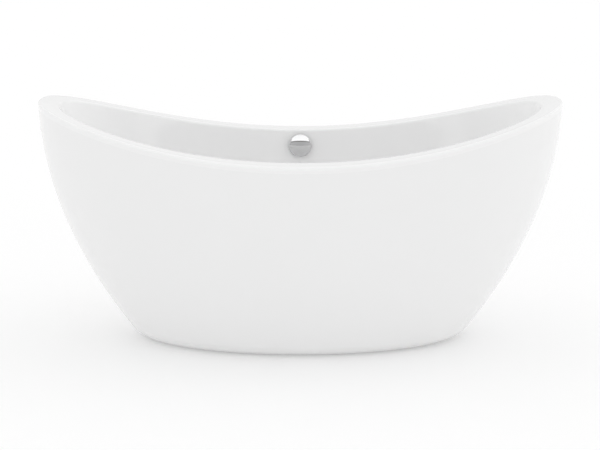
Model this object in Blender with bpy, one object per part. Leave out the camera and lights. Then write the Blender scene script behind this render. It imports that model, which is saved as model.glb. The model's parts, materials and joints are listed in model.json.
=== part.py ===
"""Freestanding double-slipper bathtub: a moulded basin bonded into a separate skirt, carried by a
steel frame on four screw feet, with a click-clack waste and a capped overflow piped to it.

Metres, +Z up, +X along the tub, +Y towards the side with the overflow. The origin is on the floor,
at the middle of the tub's footprint. Every piece is one closed solid.
"""

import math

import bmesh
import bpy
from mathutils import Matrix, Vector

# Overall form
HALF_LENGTH = 0.750
HALF_WIDTH = 0.375
RIM_MID_HEIGHT = 0.572
RIM_END_RISE = 0.144
RIM_END_WIDTH = 0.060
RIM_SIDE_WIDTH = 0.078
OUTER_EDGE_RADIUS = 0.0125
OUTER_END_EDGE_RADIUS = 0.0065
INNER_EDGE_RADIUS = 0.009
RIM_END_FALL = 0.0065
RIM_FALL_POWER = 8
OUTER_EXPONENT = 2.38
GAP = 0.0003
AROUND = 44
OUTER_EDGE_STEPS = 5
INNER_EDGE_STEPS = 3

# Outer skirt
BASE_HALF_LENGTH = 0.476
BASE_HALF_WIDTH = 0.239
BASE_EXPONENT = 2.0
WALL_LEAN = 0.03
SKIRT_THICKNESS = 0.005
SKIRT_CORNER = 0.034
SKIRT_CLEARANCE = 0.002
FOOT_LIP_REACH = 0.046
SEAM_DROP = 0.018
UPSTAND_HEIGHT = 0.006
SHOULDER_DEPTH = 0.025

# Inner basin
BASIN_THICKNESS = 0.005
INNER_EXPONENT = 2.55
FLOOR_HALF_LENGTH = 0.400
FLOOR_HALF_WIDTH = 0.200
FLOOR_HEIGHT = 0.136
FLOOR_FALL = 0.003
BACKREST_LEAN = 0.60
FILLET_SHARPNESS = 3.0
RECESS_RADIUS = 0.047
RECESS_DEPTH = 0.004
DRAIN_HOLE_RADIUS = 0.026

# Board and frame under the floor
BOARD_HALF_LENGTH = 0.360
BOARD_HALF_WIDTH = 0.165
BOARD_THICKNESS = 0.012
BOARD_HOLE_RADIUS = 0.062
BOARD_TOP = FLOOR_HEIGHT - BASIN_THICKNESS - GAP
CROSSBAR_X = 0.200
CROSSBAR_SIZE = (0.040, 0.270, 0.004)
CROSSBAR_TOP = BOARD_TOP - BOARD_THICKNESS - GAP
RAIL_Y = 0.105
RAIL_SIDE = 0.025
RAIL_WALL = 0.002
RAIL_LENGTH = 0.680
RAIL_TOP = CROSSBAR_TOP - CROSSBAR_SIZE[2] - GAP
RAIL_BOTTOM = RAIL_TOP - RAIL_SIDE
SCREW_YS = (-0.128, -0.050, 0.050, 0.128)
SCREW_RADIUS = 0.0020
SCREW_HOLE_RADIUS = 0.0024
SCREW_HEAD_RADIUS = 0.0045
SCREW_HEAD_HEIGHT = 0.0026
SCREW_BITE = 0.009

# Screw feet
FOOT_XS = (-0.280, 0.280)
PAD_RADIUS = 0.022
PAD_HEIGHT = 0.012
STUD_RADIUS = 0.006
STUD_HOLE_RADIUS = 0.0066
COLLAR_FLATS = 0.019
COLLAR_HEIGHT = 0.008
STUD_TOP = RAIL_BOTTOM + 0.020
LOCKNUT_HEIGHT = 0.007
WELD_NUT_RADIUS = 0.010
WELD_NUT_HEIGHT = 0.007

# Waste at the middle of the floor
SEAT_HEIGHT = FLOOR_HEIGHT - RECESS_DEPTH
GASKET_THICKNESS = 0.0015
FLANGE_RADIUS = 0.035
FLANGE_THICKNESS = 0.0025
FLANGE_TUBE_RADIUS = 0.0235
FLANGE_BORE_RADIUS = 0.0210
SHOE_RADIUS = 0.0270
SHOE_BORE_RADIUS = 0.0240
SHOE_FLANGE_RADIUS = 0.036
SHOE_BOTTOM = 0.046
SEAL_THICKNESS = 0.004
PORT_HEIGHT = 0.065
PORT_REACH = 0.052
TAIL_RADIUS = 0.0190
TAIL_BORE_RADIUS = 0.0170
TAIL_BOTTOM = 0.010
PLUG_RADIUS = 0.031

# Overflow in the middle of the rear wall
OVERFLOW_HEIGHT = 0.5225
OVERFLOW_HOLE_RADIUS = 0.026
PLATE_STANDOFF = 0.0012
CAP_RADIUS = 0.0355
CAP_DEPTH = 0.0140
CAP_DOME = 0.0032
CAP_WALL = 0.0015
CAP_STANDOFF = 0.0030
CAP_EDGE_RADIUS = 0.0030
HOSE_RADIUS = 0.0150
HOSE_BORE_RADIUS = 0.0115
HOSE_NUT_RADIUS = 0.0200
HOSE_NUT_LENGTH = 0.018
OUTLET_REACH = 0.050

ROUND = 24
SMALL_ROUND = 10

WHITE = ((0.86, 0.86, 0.86, 1.0), 0.12, 0.0)
CHROME = ((0.80, 0.80, 0.80, 1.0), 0.08, 1.0)
ZINC = ((0.62, 0.63, 0.65, 1.0), 0.35, 1.0)
RUBBER = ((0.03, 0.03, 0.03, 1.0), 0.75, 0.0)
GREY_PLASTIC = ((0.62, 0.62, 0.62, 1.0), 0.45, 0.0)
BLACK_PLASTIC = ((0.06, 0.06, 0.06, 1.0), 0.50, 0.0)
BRASS = ((0.72, 0.56, 0.30, 1.0), 0.30, 1.0)
WOOD = ((0.62, 0.48, 0.32, 1.0), 0.80, 0.0)


# ---------------------------------------------------------------- mesh helpers


def material(name, look):
    colour, roughness, metallic = look
    made = bpy.data.materials.get(name) or bpy.data.materials.new(name)
    made.use_nodes = True
    shader = made.node_tree.nodes["Principled BSDF"]
    shader.inputs["Base Color"].default_value = colour
    shader.inputs["Roughness"].default_value = roughness
    shader.inputs["Metallic"].default_value = metallic
    return made


def new_object(name, shape, look, origin=(0, 0, 0), smooth_angle=35):
    """Links the bmesh as an object whose origin is at the given world point."""
    bmesh.ops.remove_doubles(shape, verts=shape.verts, dist=1e-6)
    bmesh.ops.recalc_face_normals(shape, faces=shape.faces)
    bmesh.ops.translate(shape, verts=shape.verts, vec=-Vector(origin))
    mesh = bpy.data.meshes.new(name)
    shape.to_mesh(mesh)
    shape.free()
    mesh.shade_smooth()
    mesh.set_sharp_from_angle(angle=math.radians(smooth_angle))
    mesh.materials.append(material(name + "_finish", look))
    made = bpy.data.objects.new(name, mesh)
    made.location = origin
    bpy.context.scene.collection.objects.link(made)
    return made


def closed_sweep(loops):
    """A ring-shaped body: each loop is one closed section, and the last one joins the first."""
    shape = bmesh.new()
    rings = [[shape.verts.new(point) for point in loop] for loop in loops]
    for here, there in zip(rings, rings[1:] + rings[:1]):
        for i in range(len(here)):
            j = (i + 1) % len(here)
            shape.faces.new((here[i], here[j], there[j], there[i]))
    return shape


def turned(profile, steps=ROUND, place=Matrix.Identity(4)):
    """A body of revolution about local Z, from (radius, height) points.

    A profile that starts and ends on the axis is solid; any other closes on itself as a ring.
    """
    shape = bmesh.new()
    angles = [math.tau * k / steps for k in range(steps)]
    rows = []
    for radius, height in profile:
        if radius < 1e-7:
            rows.append([shape.verts.new((0, 0, height))] * steps)
        else:
            rows.append([
                shape.verts.new((radius * math.cos(a), radius * math.sin(a), height)) for a in angles
            ])
    solid = profile[0][0] < 1e-7 and profile[-1][0] < 1e-7
    following = rows[1:] if solid else rows[1:] + rows[:1]
    for lower, upper in zip(rows, following):
        for k in range(steps):
            m = (k + 1) % steps
            corners = dict.fromkeys((lower[k], lower[m], upper[m], upper[k]))
            if len(corners) > 2:
                shape.faces.new(tuple(corners))
    bmesh.ops.transform(shape, matrix=place, verts=shape.verts)
    return shape


def pipe_profile(outer, inner, low, high):
    return [(outer, low), (outer, high), (inner, high), (inner, low)]


def rod_profile(radius, low, high):
    return [(0, low), (radius, low), (radius, high), (0, high)]


def hex_ring(flats, bore, low, high, centre, steps=ROUND):
    """A hexagonal nut with a round bore, upright, about a point in plan."""
    loops = []
    for k in range(steps):
        angle = math.tau * k / steps
        off_corner = (angle % (math.pi / 3)) - math.pi / 6
        reach = flats / 2 / math.cos(off_corner)
        along = Vector((math.cos(angle), math.sin(angle), 0))
        base = Vector((centre[0], centre[1], 0))
        up = Vector((0, 0, 1))
        loops.append([
            base + along * reach + up * low,
            base + along * reach + up * high,
            base + along * bore + up * high,
            base + along * bore + up * low,
        ])
    return closed_sweep(loops)


def box(low, high):
    shape = bmesh.new()
    size = [high[i] - low[i] for i in range(3)]
    centre = [(high[i] + low[i]) / 2 for i in range(3)]
    place = Matrix.Translation(centre) @ Matrix.Diagonal((*size, 1))
    bmesh.ops.create_cube(shape, size=1, matrix=place)
    return shape


def boolean(target, operation, *shapes):
    """Cuts from, or joins to, the target each of the shapes, kept as hidden wire helpers."""
    for shape in shapes:
        helper = new_object(f"helper_{len(bpy.data.objects):03d}", shape, ZINC)
        helper.hide_render = True
        helper.display_type = "WIRE"
        modifier = target.modifiers.new(f"{operation.lower()}_{helper.name}", "BOOLEAN")
        modifier.operation = operation
        modifier.solver = "EXACT"
        modifier.object = helper
    return target


# ---------------------------------------------------------------- tub surfaces


def unit_outline(exponent, angle):
    """A superellipse with both half axes 1."""
    c, s = math.cos(angle), math.sin(angle)
    power = 2 / exponent
    return math.copysign(abs(c) ** power, c), math.copysign(abs(s) ** power, s)


def outline(half_length, half_width, exponent, angle):
    """(point, outward normal) in plan on a superellipse."""
    u, v = unit_outline(exponent, angle)
    point = Vector((half_length * u, half_width * v, 0))
    slope_x = math.copysign(abs(u) ** (exponent - 1), u) / half_length
    slope_y = math.copysign(abs(v) ** (exponent - 1), v) / half_width
    return point, Vector((slope_x, slope_y, 0)).normalized()


def rim_height(x):
    """The rim's top is level across the tub and rises towards both ends."""
    return RIM_MID_HEIGHT + RIM_END_RISE * (x / HALF_LENGTH) ** 2


def rim_fall(x):
    """How far the rim's top falls from its inner to its outer edge, mostly at the ends."""
    return RIM_END_FALL * abs(x / HALF_LENGTH) ** RIM_FALL_POWER


def edge_radius(x):
    """The rounding of the rim's outer edge, tighter at the ends."""
    return OUTER_EDGE_RADIUS + (OUTER_END_EDGE_RADIUS - OUTER_EDGE_RADIUS) * (x / HALF_LENGTH) ** 2


def outer_rim_height(angle):
    x = HALF_LENGTH * unit_outline(OUTER_EXPONENT, angle)[0]
    return rim_height(x) - rim_fall(x)


def skirt_point(angle, height, inset=0.0):
    """The tub's outer surface at a height over the floor, moved in by the inset."""
    from_top = 1 - height / outer_rim_height(angle)
    drawn_in = WALL_LEAN * from_top + (1 - WALL_LEAN) * from_top * abs(from_top)
    point, normal = outline(
        HALF_LENGTH + (BASE_HALF_LENGTH - HALF_LENGTH) * drawn_in,
        HALF_WIDTH + (BASE_HALF_WIDTH - HALF_WIDTH) * drawn_in,
        OUTER_EXPONENT + (BASE_EXPONENT - OUTER_EXPONENT) * drawn_in,
        angle,
    )
    point = point - normal * inset
    point.z = height
    return point


def wall_draw(depth):
    """How far the basin's wall has come in, from 0 at the rim to 1 at the floor."""
    rest = (1 - depth**FILLET_SHARPNESS) ** (1 / FILLET_SHARPNESS)
    return BACKREST_LEAN * depth + (1 - BACKREST_LEAN) * (1 - rest)


def inner_rim(angle):
    return outline(HALF_LENGTH - RIM_END_WIDTH, HALF_WIDTH - RIM_SIDE_WIDTH, INNER_EXPONENT, angle)


def basin_point(angle, depth):
    """The basin's wall, from depth 0 at the rim's inner edge to 1 where it meets the floor."""
    drawn_in = wall_draw(depth)
    long_rim, wide_rim = HALF_LENGTH - RIM_END_WIDTH, HALF_WIDTH - RIM_SIDE_WIDTH
    point, _ = outline(
        long_rim + (FLOOR_HALF_LENGTH - long_rim) * drawn_in,
        wide_rim + (FLOOR_HALF_WIDTH - wide_rim) * drawn_in,
        INNER_EXPONENT,
        angle,
    )
    edge = FLOOR_HEIGHT + FLOOR_FALL
    top = rim_height(inner_rim(angle)[0].x)
    point.z = top + (edge - top) * depth
    return point


def rounded_corner(lean, radius, steps):
    """(setback, drop) pairs that round the corner of the level rim and a wall leaning inwards by lean.

    A wall that leans back under the rim has a negative lean.
    """
    turn = math.pi / 2 - lean
    tangent = radius * math.tan(turn / 2)
    for k in range(steps + 1):
        angle = turn * k / steps
        yield tangent - radius * math.sin(angle), radius * (1 - math.cos(angle))


def rim_points(angle):
    """The visible rim, from the seam with the skirt, over the top, to the top of the basin's wall."""
    corner, outward = outline(HALF_LENGTH, HALF_WIDTH, OUTER_EXPONENT, angle)
    inner_corner, inner_outward = inner_rim(angle)
    top = outer_rim_height(angle)
    low = skirt_point(angle, top - SEAM_DROP)
    outer_lean = math.atan2((corner - low).dot(outward), SEAM_DROP)
    points = [low]
    for setback, drop in reversed(list(rounded_corner(-outer_lean, edge_radius(corner.x), OUTER_EDGE_STEPS))):
        point = corner - outward * setback
        point.z = rim_height(point.x) - rim_fall(point.x) - drop
        points.append(point)
    sample = basin_point(angle, 0.02)
    fallen = rim_height(inner_corner.x) - sample.z
    inner_lean = math.atan2((inner_corner - sample).dot(inner_outward), fallen)
    inner_arc = []
    for setback, drop in rounded_corner(inner_lean, INNER_EDGE_RADIUS, INNER_EDGE_STEPS):
        point = inner_corner + inner_outward * setback
        point.z = rim_height(point.x) - drop
        inner_arc.append(point)
    middle = (points[-1] + inner_arc[0]) / 2
    middle.z = rim_height(middle.x) - rim_fall(middle.x) / 4
    return points + [middle] + inner_arc


def floor_points(angle):
    """The floor from the wall's foot to the edge of the drain hole."""
    foot = basin_point(angle, 1.0)
    along = Vector((math.cos(angle), math.sin(angle), 0))
    recess_edge = along * RECESS_RADIUS
    points = []
    for share in (0.66, 0.33, 0.0):
        point = recess_edge.lerp(foot, share)
        point.z = FLOOR_HEIGHT + FLOOR_FALL * share**2
        points.append(point)
    points.append(along * (RECESS_RADIUS - RECESS_DEPTH) + Vector((0, 0, SEAT_HEIGHT)))
    points.append(along * DRAIN_HOLE_RADIUS + Vector((0, 0, SEAT_HEIGHT)))
    return points


def visible_section(angle):
    rim = rim_points(angle)
    top = rim_height(inner_rim(angle)[0].x)
    started = (top - rim[-1].z) / (top - FLOOR_HEIGHT - FLOOR_FALL)
    first = math.asin(started ** (FILLET_SHARPNESS / 2))
    levels = 7
    wall = []
    for k in range(1, levels + 1):
        turn = first + (math.pi / 2 - first) * k / levels
        wall.append(basin_point(angle, min(1.0, math.sin(turn) ** (2 / FILLET_SHARPNESS))))
    return rim + wall + floor_points(angle)


def offset_grid(grid, distance):
    """Each point of a grid that closes around the tub, moved behind the surface by a distance."""
    moved = []
    count = len(grid)
    for k, row in enumerate(grid):
        before, after = grid[k - 1], grid[(k + 1) % count]
        new_row = []
        for i, point in enumerate(row):
            down = row[min(i + 1, len(row) - 1)] - row[max(i - 1, 0)]
            around = after[i] - before[i]
            new_row.append(point - around.cross(down).normalized() * distance)
        moved.append(new_row)
    return moved


def tub_angles(count=AROUND):
    return [math.tau * k / count for k in range(count)]


def overflow_frame():
    """Local Z points from the rear wall into the tub, square to the wall at the overflow."""
    angle = math.pi / 2
    top = rim_height(0)
    edge = FLOOR_HEIGHT + FLOOR_FALL
    depth = (top - OVERFLOW_HEIGHT) / (top - edge)
    here, below = basin_point(angle, depth), basin_point(angle, depth + 0.02)
    down = (below - here).normalized()
    across = Vector((1, 0, 0))
    into_tub = across.cross(down).normalized()
    if into_tub.y > 0:
        into_tub = -into_tub
    up = into_tub.cross(across).normalized()
    turn = Matrix((across, -up, into_tub)).transposed().to_4x4()
    return Matrix.Translation(here) @ turn


# ---------------------------------------------------------------- tub shells


def make_basin():
    front = [visible_section(angle) for angle in tub_angles()]
    back = offset_grid(front, BASIN_THICKNESS)
    loops = [seen + hidden[::-1] for seen, hidden in zip(front, back)]
    basin = new_object("inner_basin", closed_sweep(loops), WHITE, smooth_angle=50)
    hole = turned(rod_profile(OVERFLOW_HOLE_RADIUS, -0.02, 0.02), ROUND, overflow_frame())
    return boolean(basin, "DIFFERENCE", hole)


def skirt_section(angle):
    """The skirt's closed section: up the outside, over the bonding upstand, down the inside."""
    seam = outer_rim_height(angle) - SEAM_DROP - GAP
    base = SKIRT_CLEARANCE
    corner_steps, wall_steps = 3, 7
    heights = [
        base + SKIRT_CORNER + (seam - base - SKIRT_CORNER) * k / wall_steps for k in range(1, wall_steps)
    ]
    turns = [math.pi / 2 * k / corner_steps for k in range(corner_steps + 1)]

    def corner(radius):
        for turn in turns:
            rise = SKIRT_CORNER - radius * math.cos(turn)
            yield skirt_point(angle, base + rise, SKIRT_CORNER - radius * math.sin(turn))

    loop = [skirt_point(angle, base, FOOT_LIP_REACH)]
    loop += list(corner(SKIRT_CORNER))
    loop += [skirt_point(angle, height) for height in heights]
    step = BASIN_THICKNESS + 2 * GAP
    loop.append(skirt_point(angle, seam))
    loop.append(skirt_point(angle, seam, step))
    loop.append(skirt_point(angle, seam + UPSTAND_HEIGHT, step))
    loop.append(skirt_point(angle, seam + UPSTAND_HEIGHT, step + SKIRT_THICKNESS))
    loop.append(skirt_point(angle, seam - SHOULDER_DEPTH / 2, step + SKIRT_THICKNESS))
    loop.append(skirt_point(angle, seam - SHOULDER_DEPTH, SKIRT_THICKNESS))
    inner_heights = [height for height in heights if height < seam - SHOULDER_DEPTH - SKIRT_THICKNESS]
    loop += [skirt_point(angle, height, SKIRT_THICKNESS) for height in reversed(inner_heights)]
    loop += reversed(list(corner(SKIRT_CORNER - SKIRT_THICKNESS)))
    loop.append(skirt_point(angle, base + SKIRT_THICKNESS, FOOT_LIP_REACH))
    return loop


def make_skirt():
    loops = [skirt_section(angle) for angle in tub_angles()]
    return new_object("outer_skirt", closed_sweep(loops), WHITE, smooth_angle=50)


# ---------------------------------------------------------------- board and frame


def screw_places():
    return [(x, y) for x in (-CROSSBAR_X, CROSSBAR_X) for y in SCREW_YS]


def pilot_hole(x, y, low, high):
    return turned(rod_profile(SCREW_HOLE_RADIUS, low, high), SMALL_ROUND, Matrix.Translation((x, y, 0)))


def make_board():
    """A flat board bedded under the basin's floor, with a hole for the waste."""
    low = BOARD_TOP - BOARD_THICKNESS
    loops = []
    for angle in tub_angles(ROUND * 2):
        rim, _ = outline(BOARD_HALF_LENGTH, BOARD_HALF_WIDTH, INNER_EXPONENT, angle)
        hole = Vector((math.cos(angle), math.sin(angle), 0)) * BOARD_HOLE_RADIUS
        loops.append([
            rim + Vector((0, 0, low)),
            rim + Vector((0, 0, BOARD_TOP)),
            hole + Vector((0, 0, BOARD_TOP)),
            hole + Vector((0, 0, low)),
        ])
    board = new_object("floor_board", closed_sweep(loops), WOOD)
    cuts = [pilot_hole(x, y, low - 0.01, low + SCREW_BITE + 0.001) for x, y in screw_places()]
    return boolean(board, "DIFFERENCE", *cuts)


def make_crossbars():
    long_x, long_y, thick = CROSSBAR_SIZE
    for side, x in (("left", -CROSSBAR_X), ("right", CROSSBAR_X)):
        shape = box(
            (x - long_x / 2, -long_y / 2, CROSSBAR_TOP - thick), (x + long_x / 2, long_y / 2, CROSSBAR_TOP)
        )
        bar = new_object(f"frame_crossbar_{side}", shape, ZINC)
        cuts = [pilot_hole(x, y, CROSSBAR_TOP - 0.02, CROSSBAR_TOP + 0.02) for y in SCREW_YS]
        boolean(bar, "DIFFERENCE", *cuts)


def make_board_screws():
    """Pan-head screws up through the crossbars into the board."""
    head_top = CROSSBAR_TOP - CROSSBAR_SIZE[2] - GAP
    tip = CROSSBAR_TOP + GAP + SCREW_BITE
    for number, (x, y) in enumerate(screw_places(), start=1):
        profile = [
            (0, head_top - SCREW_HEAD_HEIGHT),
            (SCREW_HEAD_RADIUS * 0.7, head_top - SCREW_HEAD_HEIGHT),
            (SCREW_HEAD_RADIUS, head_top - SCREW_HEAD_HEIGHT * 0.5),
            (SCREW_HEAD_RADIUS, head_top),
            (SCREW_RADIUS, head_top),
            (SCREW_RADIUS, tip - 0.002),
            (0, tip),
        ]
        shape = turned(profile, SMALL_ROUND, Matrix.Translation((x, y, 0)))
        new_object(f"board_screw_{number}", shape, ZINC, (x, y, head_top))


def make_rails():
    """Square tubes along the tub, with a weld nut inside the lower wall over each foot."""
    for side, y in (("front", -RAIL_Y), ("rear", RAIL_Y)):
        middle = Vector((0, y, (RAIL_TOP + RAIL_BOTTOM) / 2))
        loops = []
        for across, up in ((1, 1), (-1, 1), (-1, -1), (1, -1)):
            outer = Vector((0, across, up)) * RAIL_SIDE / 2
            inner = Vector((0, across, up)) * (RAIL_SIDE / 2 - RAIL_WALL)
            end = Vector((RAIL_LENGTH / 2, 0, 0))
            loops.append([middle + outer - end, middle + outer + end, middle + inner + end, middle + inner - end])
        rail = new_object(f"frame_rail_{side}", closed_sweep(loops), ZINC)
        overlap = RAIL_WALL / 2
        nuts, holes = [], []
        for x in FOOT_XS:
            place = Matrix.Translation((x, y, 0))
            top = RAIL_BOTTOM + RAIL_WALL + WELD_NUT_HEIGHT
            nuts.append(turned(rod_profile(WELD_NUT_RADIUS, RAIL_BOTTOM + overlap, top), SMALL_ROUND, place))
            holes.append(turned(rod_profile(STUD_HOLE_RADIUS, RAIL_BOTTOM - 0.01, top + 0.002), ROUND, place))
        boolean(rail, "UNION", *nuts)
        boolean(rail, "DIFFERENCE", *holes)
        for end, sign in (("left", -1), ("right", 1)):
            make_rail_cap(f"rail_end_cap_{side}_{end}", sign, middle)


def make_rail_cap(name, sign, middle):
    """A plastic plug pressed into a rail's open end, with a flange over the edge."""
    face = sign * (RAIL_LENGTH / 2 + GAP)
    half = RAIL_SIDE / 2
    inner = half - RAIL_WALL - GAP
    out, plug = face + sign * 0.003, face - sign * 0.015
    shape = box(
        (min(face, out), middle.y - half, middle.z - half), (max(face, out), middle.y + half, middle.z + half)
    )
    cap = new_object(name, shape, BLACK_PLASTIC)
    overlap = face + sign * 0.001
    body = box(
        (min(plug, overlap), middle.y - inner, middle.z - inner),
        (max(plug, overlap), middle.y + inner, middle.z + inner),
    )
    boolean(cap, "UNION", body)


def make_feet():
    """Each foot: a pad, a stud with a hexagonal collar, and a nut that locks it to the rail."""
    number = 0
    for y in (-RAIL_Y, RAIL_Y):
        for x in FOOT_XS:
            number += 1
            place = Matrix.Translation((x, y, 0))
            pad = [
                (0, 0),
                (PAD_RADIUS - 0.001, 0),
                (PAD_RADIUS, 0.001),
                (PAD_RADIUS, 0.005),
                (PAD_RADIUS * 0.55, PAD_HEIGHT),
                (STUD_RADIUS + GAP, PAD_HEIGHT),
                (STUD_RADIUS + GAP, 0.005),
                (0, 0.005),
            ]
            new_object(f"foot_{number}_pad", turned(pad, ROUND, place), BLACK_PLASTIC, (x, y, 0))
            collar_low = PAD_HEIGHT + GAP
            stud = turned(rod_profile(STUD_RADIUS, 0.005 + GAP, STUD_TOP), 16, place)
            made = new_object(f"foot_{number}_stud", stud, ZINC, (x, y, 0))
            collar = hex_ring(
                COLLAR_FLATS, STUD_RADIUS * 0.5, collar_low, collar_low + COLLAR_HEIGHT, (x, y)
            )
            boolean(made, "UNION", collar)
            top = RAIL_BOTTOM - GAP
            nut = hex_ring(COLLAR_FLATS, STUD_RADIUS + GAP, top - LOCKNUT_HEIGHT, top, (x, y))
            new_object(f"foot_{number}_locknut", nut, ZINC, (x, y, top))


# ---------------------------------------------------------------- waste


def make_drain():
    """Flange, gaskets and shoe clamped through the floor, with the tailpiece below."""
    gasket_low = SEAT_HEIGHT + GAP
    flange_low = gasket_low + GASKET_THICKNESS + GAP
    flange_top = flange_low + FLANGE_THICKNESS
    underside = SEAT_HEIGHT - BASIN_THICKNESS
    seal_top = underside - GAP
    shoe_top = seal_top - SEAL_THICKNESS - GAP

    gasket = pipe_profile(FLANGE_RADIUS - 0.002, FLANGE_TUBE_RADIUS + GAP, gasket_low, gasket_low + GASKET_THICKNESS)
    new_object("drain_gasket", turned(gasket), RUBBER)
    seal = pipe_profile(SHOE_FLANGE_RADIUS - 0.002, FLANGE_TUBE_RADIUS + GAP, seal_top - SEAL_THICKNESS, seal_top)
    new_object("drain_seal", turned(seal), RUBBER)

    tube_low = 0.094
    flange = [
        (FLANGE_TUBE_RADIUS, tube_low),
        (FLANGE_TUBE_RADIUS, flange_low),
        (FLANGE_RADIUS, flange_low),
        (FLANGE_RADIUS, flange_low + 0.001),
        (FLANGE_RADIUS - 0.003, flange_top),
        (FLANGE_BORE_RADIUS + 0.002, flange_top),
        (FLANGE_BORE_RADIUS, flange_top - 0.002),
        (FLANGE_BORE_RADIUS, tube_low),
    ]
    drain = new_object("drain_flange", turned(flange, 32), CHROME)
    spoke_low, spoke_high = 0.100, 0.106
    reach = FLANGE_BORE_RADIUS + 0.001
    spokes = [
        box((-reach, -0.002, spoke_low), (reach, 0.002, spoke_high)),
        box((-0.002, -reach, spoke_low), (0.002, reach, spoke_high)),
        turned(rod_profile(0.0075, spoke_low, spoke_high), ROUND),
    ]
    boolean(drain, "UNION", *spokes)
    boolean(drain, "DIFFERENCE", turned(rod_profile(0.0043, spoke_low - 0.01, spoke_high + 0.01), SMALL_ROUND))

    shoe = [
        (SHOE_RADIUS, SHOE_BOTTOM),
        (SHOE_RADIUS, shoe_top - 0.005),
        (SHOE_FLANGE_RADIUS, shoe_top - 0.005),
        (SHOE_FLANGE_RADIUS, shoe_top),
        (SHOE_BORE_RADIUS, shoe_top),
        (SHOE_BORE_RADIUS, SHOE_BOTTOM + 0.006),
        (TAIL_RADIUS + GAP, SHOE_BOTTOM + 0.006),
        (TAIL_RADIUS + GAP, SHOE_BOTTOM),
    ]
    body = new_object("drain_shoe", turned(shoe), GREY_PLASTIC)
    sideways = Matrix.Translation((0, 0, PORT_HEIGHT)) @ Matrix.Rotation(-math.pi / 2, 4, "X")
    port = turned(rod_profile(HOSE_RADIUS, SHOE_BORE_RADIUS + 0.001, PORT_REACH), ROUND, sideways)
    bore = turned(rod_profile(HOSE_BORE_RADIUS, SHOE_BORE_RADIUS - 0.004, PORT_REACH + 0.01), ROUND, sideways)
    boolean(body, "UNION", port)
    boolean(body, "DIFFERENCE", bore)

    tail_top = SHOE_BOTTOM + 0.006 + 0.004
    tail = [
        (TAIL_RADIUS, TAIL_BOTTOM),
        (TAIL_RADIUS, tail_top - 0.004 + GAP),
        (TAIL_RADIUS + 0.002, tail_top - 0.004 + GAP),
        (TAIL_RADIUS + 0.002, tail_top),
        (TAIL_BORE_RADIUS, tail_top),
        (TAIL_BORE_RADIUS, TAIL_BOTTOM),
    ]
    new_object("tailpiece", turned(tail), GREY_PLASTIC)
    nut_top = SHOE_BOTTOM - GAP
    nut = pipe_profile(TAIL_RADIUS + 0.006, TAIL_RADIUS + GAP, nut_top - 0.012, nut_top)
    new_object("tailpiece_nut", turned(nut), GREY_PLASTIC)
    return spoke_high, flange_top


def make_plug(spoke_top, flange_top):
    """The push plug, shown closed: its sleeve slides on a cartridge screwed into the flange's hub."""
    barrel_low = spoke_top + GAP
    barrel_top = barrel_low + 0.024
    piston_low = barrel_top - 0.010
    barrel_radius, barrel_bore = 0.0085, 0.0065
    cartridge = [
        (0, spoke_top - 0.011),
        (0.0039, spoke_top - 0.011),
        (0.0039, barrel_low),
        (barrel_radius, barrel_low),
        (barrel_radius, barrel_top),
        (barrel_bore, barrel_top),
        (barrel_bore, barrel_low + 0.003),
        (0, barrel_low + 0.003),
    ]
    new_object("plug_cartridge", turned(cartridge, 16), BRASS)

    cap_low = flange_top + 0.0026
    cap_edge = 0.0030
    cap_rise = 0.0085
    crown = [(0, cap_low), (PLUG_RADIUS - 0.001, cap_low), (PLUG_RADIUS, cap_low + 0.001)]
    crown.append((PLUG_RADIUS, cap_low + cap_edge))
    steps = 5
    for k in range(1, steps + 1):
        turn = math.pi / 2 * k / steps
        crown.append((PLUG_RADIUS * math.cos(turn), cap_low + cap_edge + (cap_rise - cap_edge) * math.sin(turn)))
    crown[-1] = (0, cap_low + cap_rise)
    origin = (0, 0, cap_low)
    new_object("plug_cap", turned(crown, 32), CHROME, origin)

    seal_low = flange_top + GAP
    seal_high = cap_low - GAP
    seal = pipe_profile(FLANGE_RADIUS - 0.006, 0.014, seal_low, seal_high)
    new_object("plug_seal", turned(seal), RUBBER, origin)

    sleeve_bore = barrel_radius + GAP
    sleeve = [
        (sleeve_bore + 0.002, barrel_low + 0.004),
        (sleeve_bore + 0.002, seal_high),
        (0, seal_high),
        (0, piston_low),
        (0.0060, piston_low),
        (0.0060, barrel_top + 0.001),
        (sleeve_bore, barrel_top + 0.001),
        (sleeve_bore, barrel_low + 0.004),
    ]
    stem = turned(sleeve[2:] + sleeve[:2] + [(0, seal_high)], 16)
    new_object("plug_sleeve", stem, BRASS, origin)
    make_spring(barrel_low + 0.003 + GAP, piston_low - GAP)


def make_spring(low, high):
    """The plug's compression spring, a bevelled helix inside the cartridge."""
    wire, coil, turns, per_turn = 0.0005, 0.0050, 4, 10
    curve = bpy.data.curves.new("plug_spring", "CURVE")
    curve.dimensions = "3D"
    curve.bevel_depth = wire
    curve.bevel_resolution = 0
    curve.use_fill_caps = True
    spline = curve.splines.new("POLY")
    count = turns * per_turn + 1
    spline.points.add(count - 1)
    for k, point in enumerate(spline.points):
        angle = math.tau * k / per_turn
        height = low + wire + (high - low - 2 * wire) * k / (count - 1)
        point.co = (coil * math.cos(angle), coil * math.sin(angle), height, 1)
    curve.materials.append(material("plug_spring_finish", ZINC))
    bpy.context.scene.collection.objects.link(bpy.data.objects.new("plug_spring", curve))


# ---------------------------------------------------------------- overflow


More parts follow.
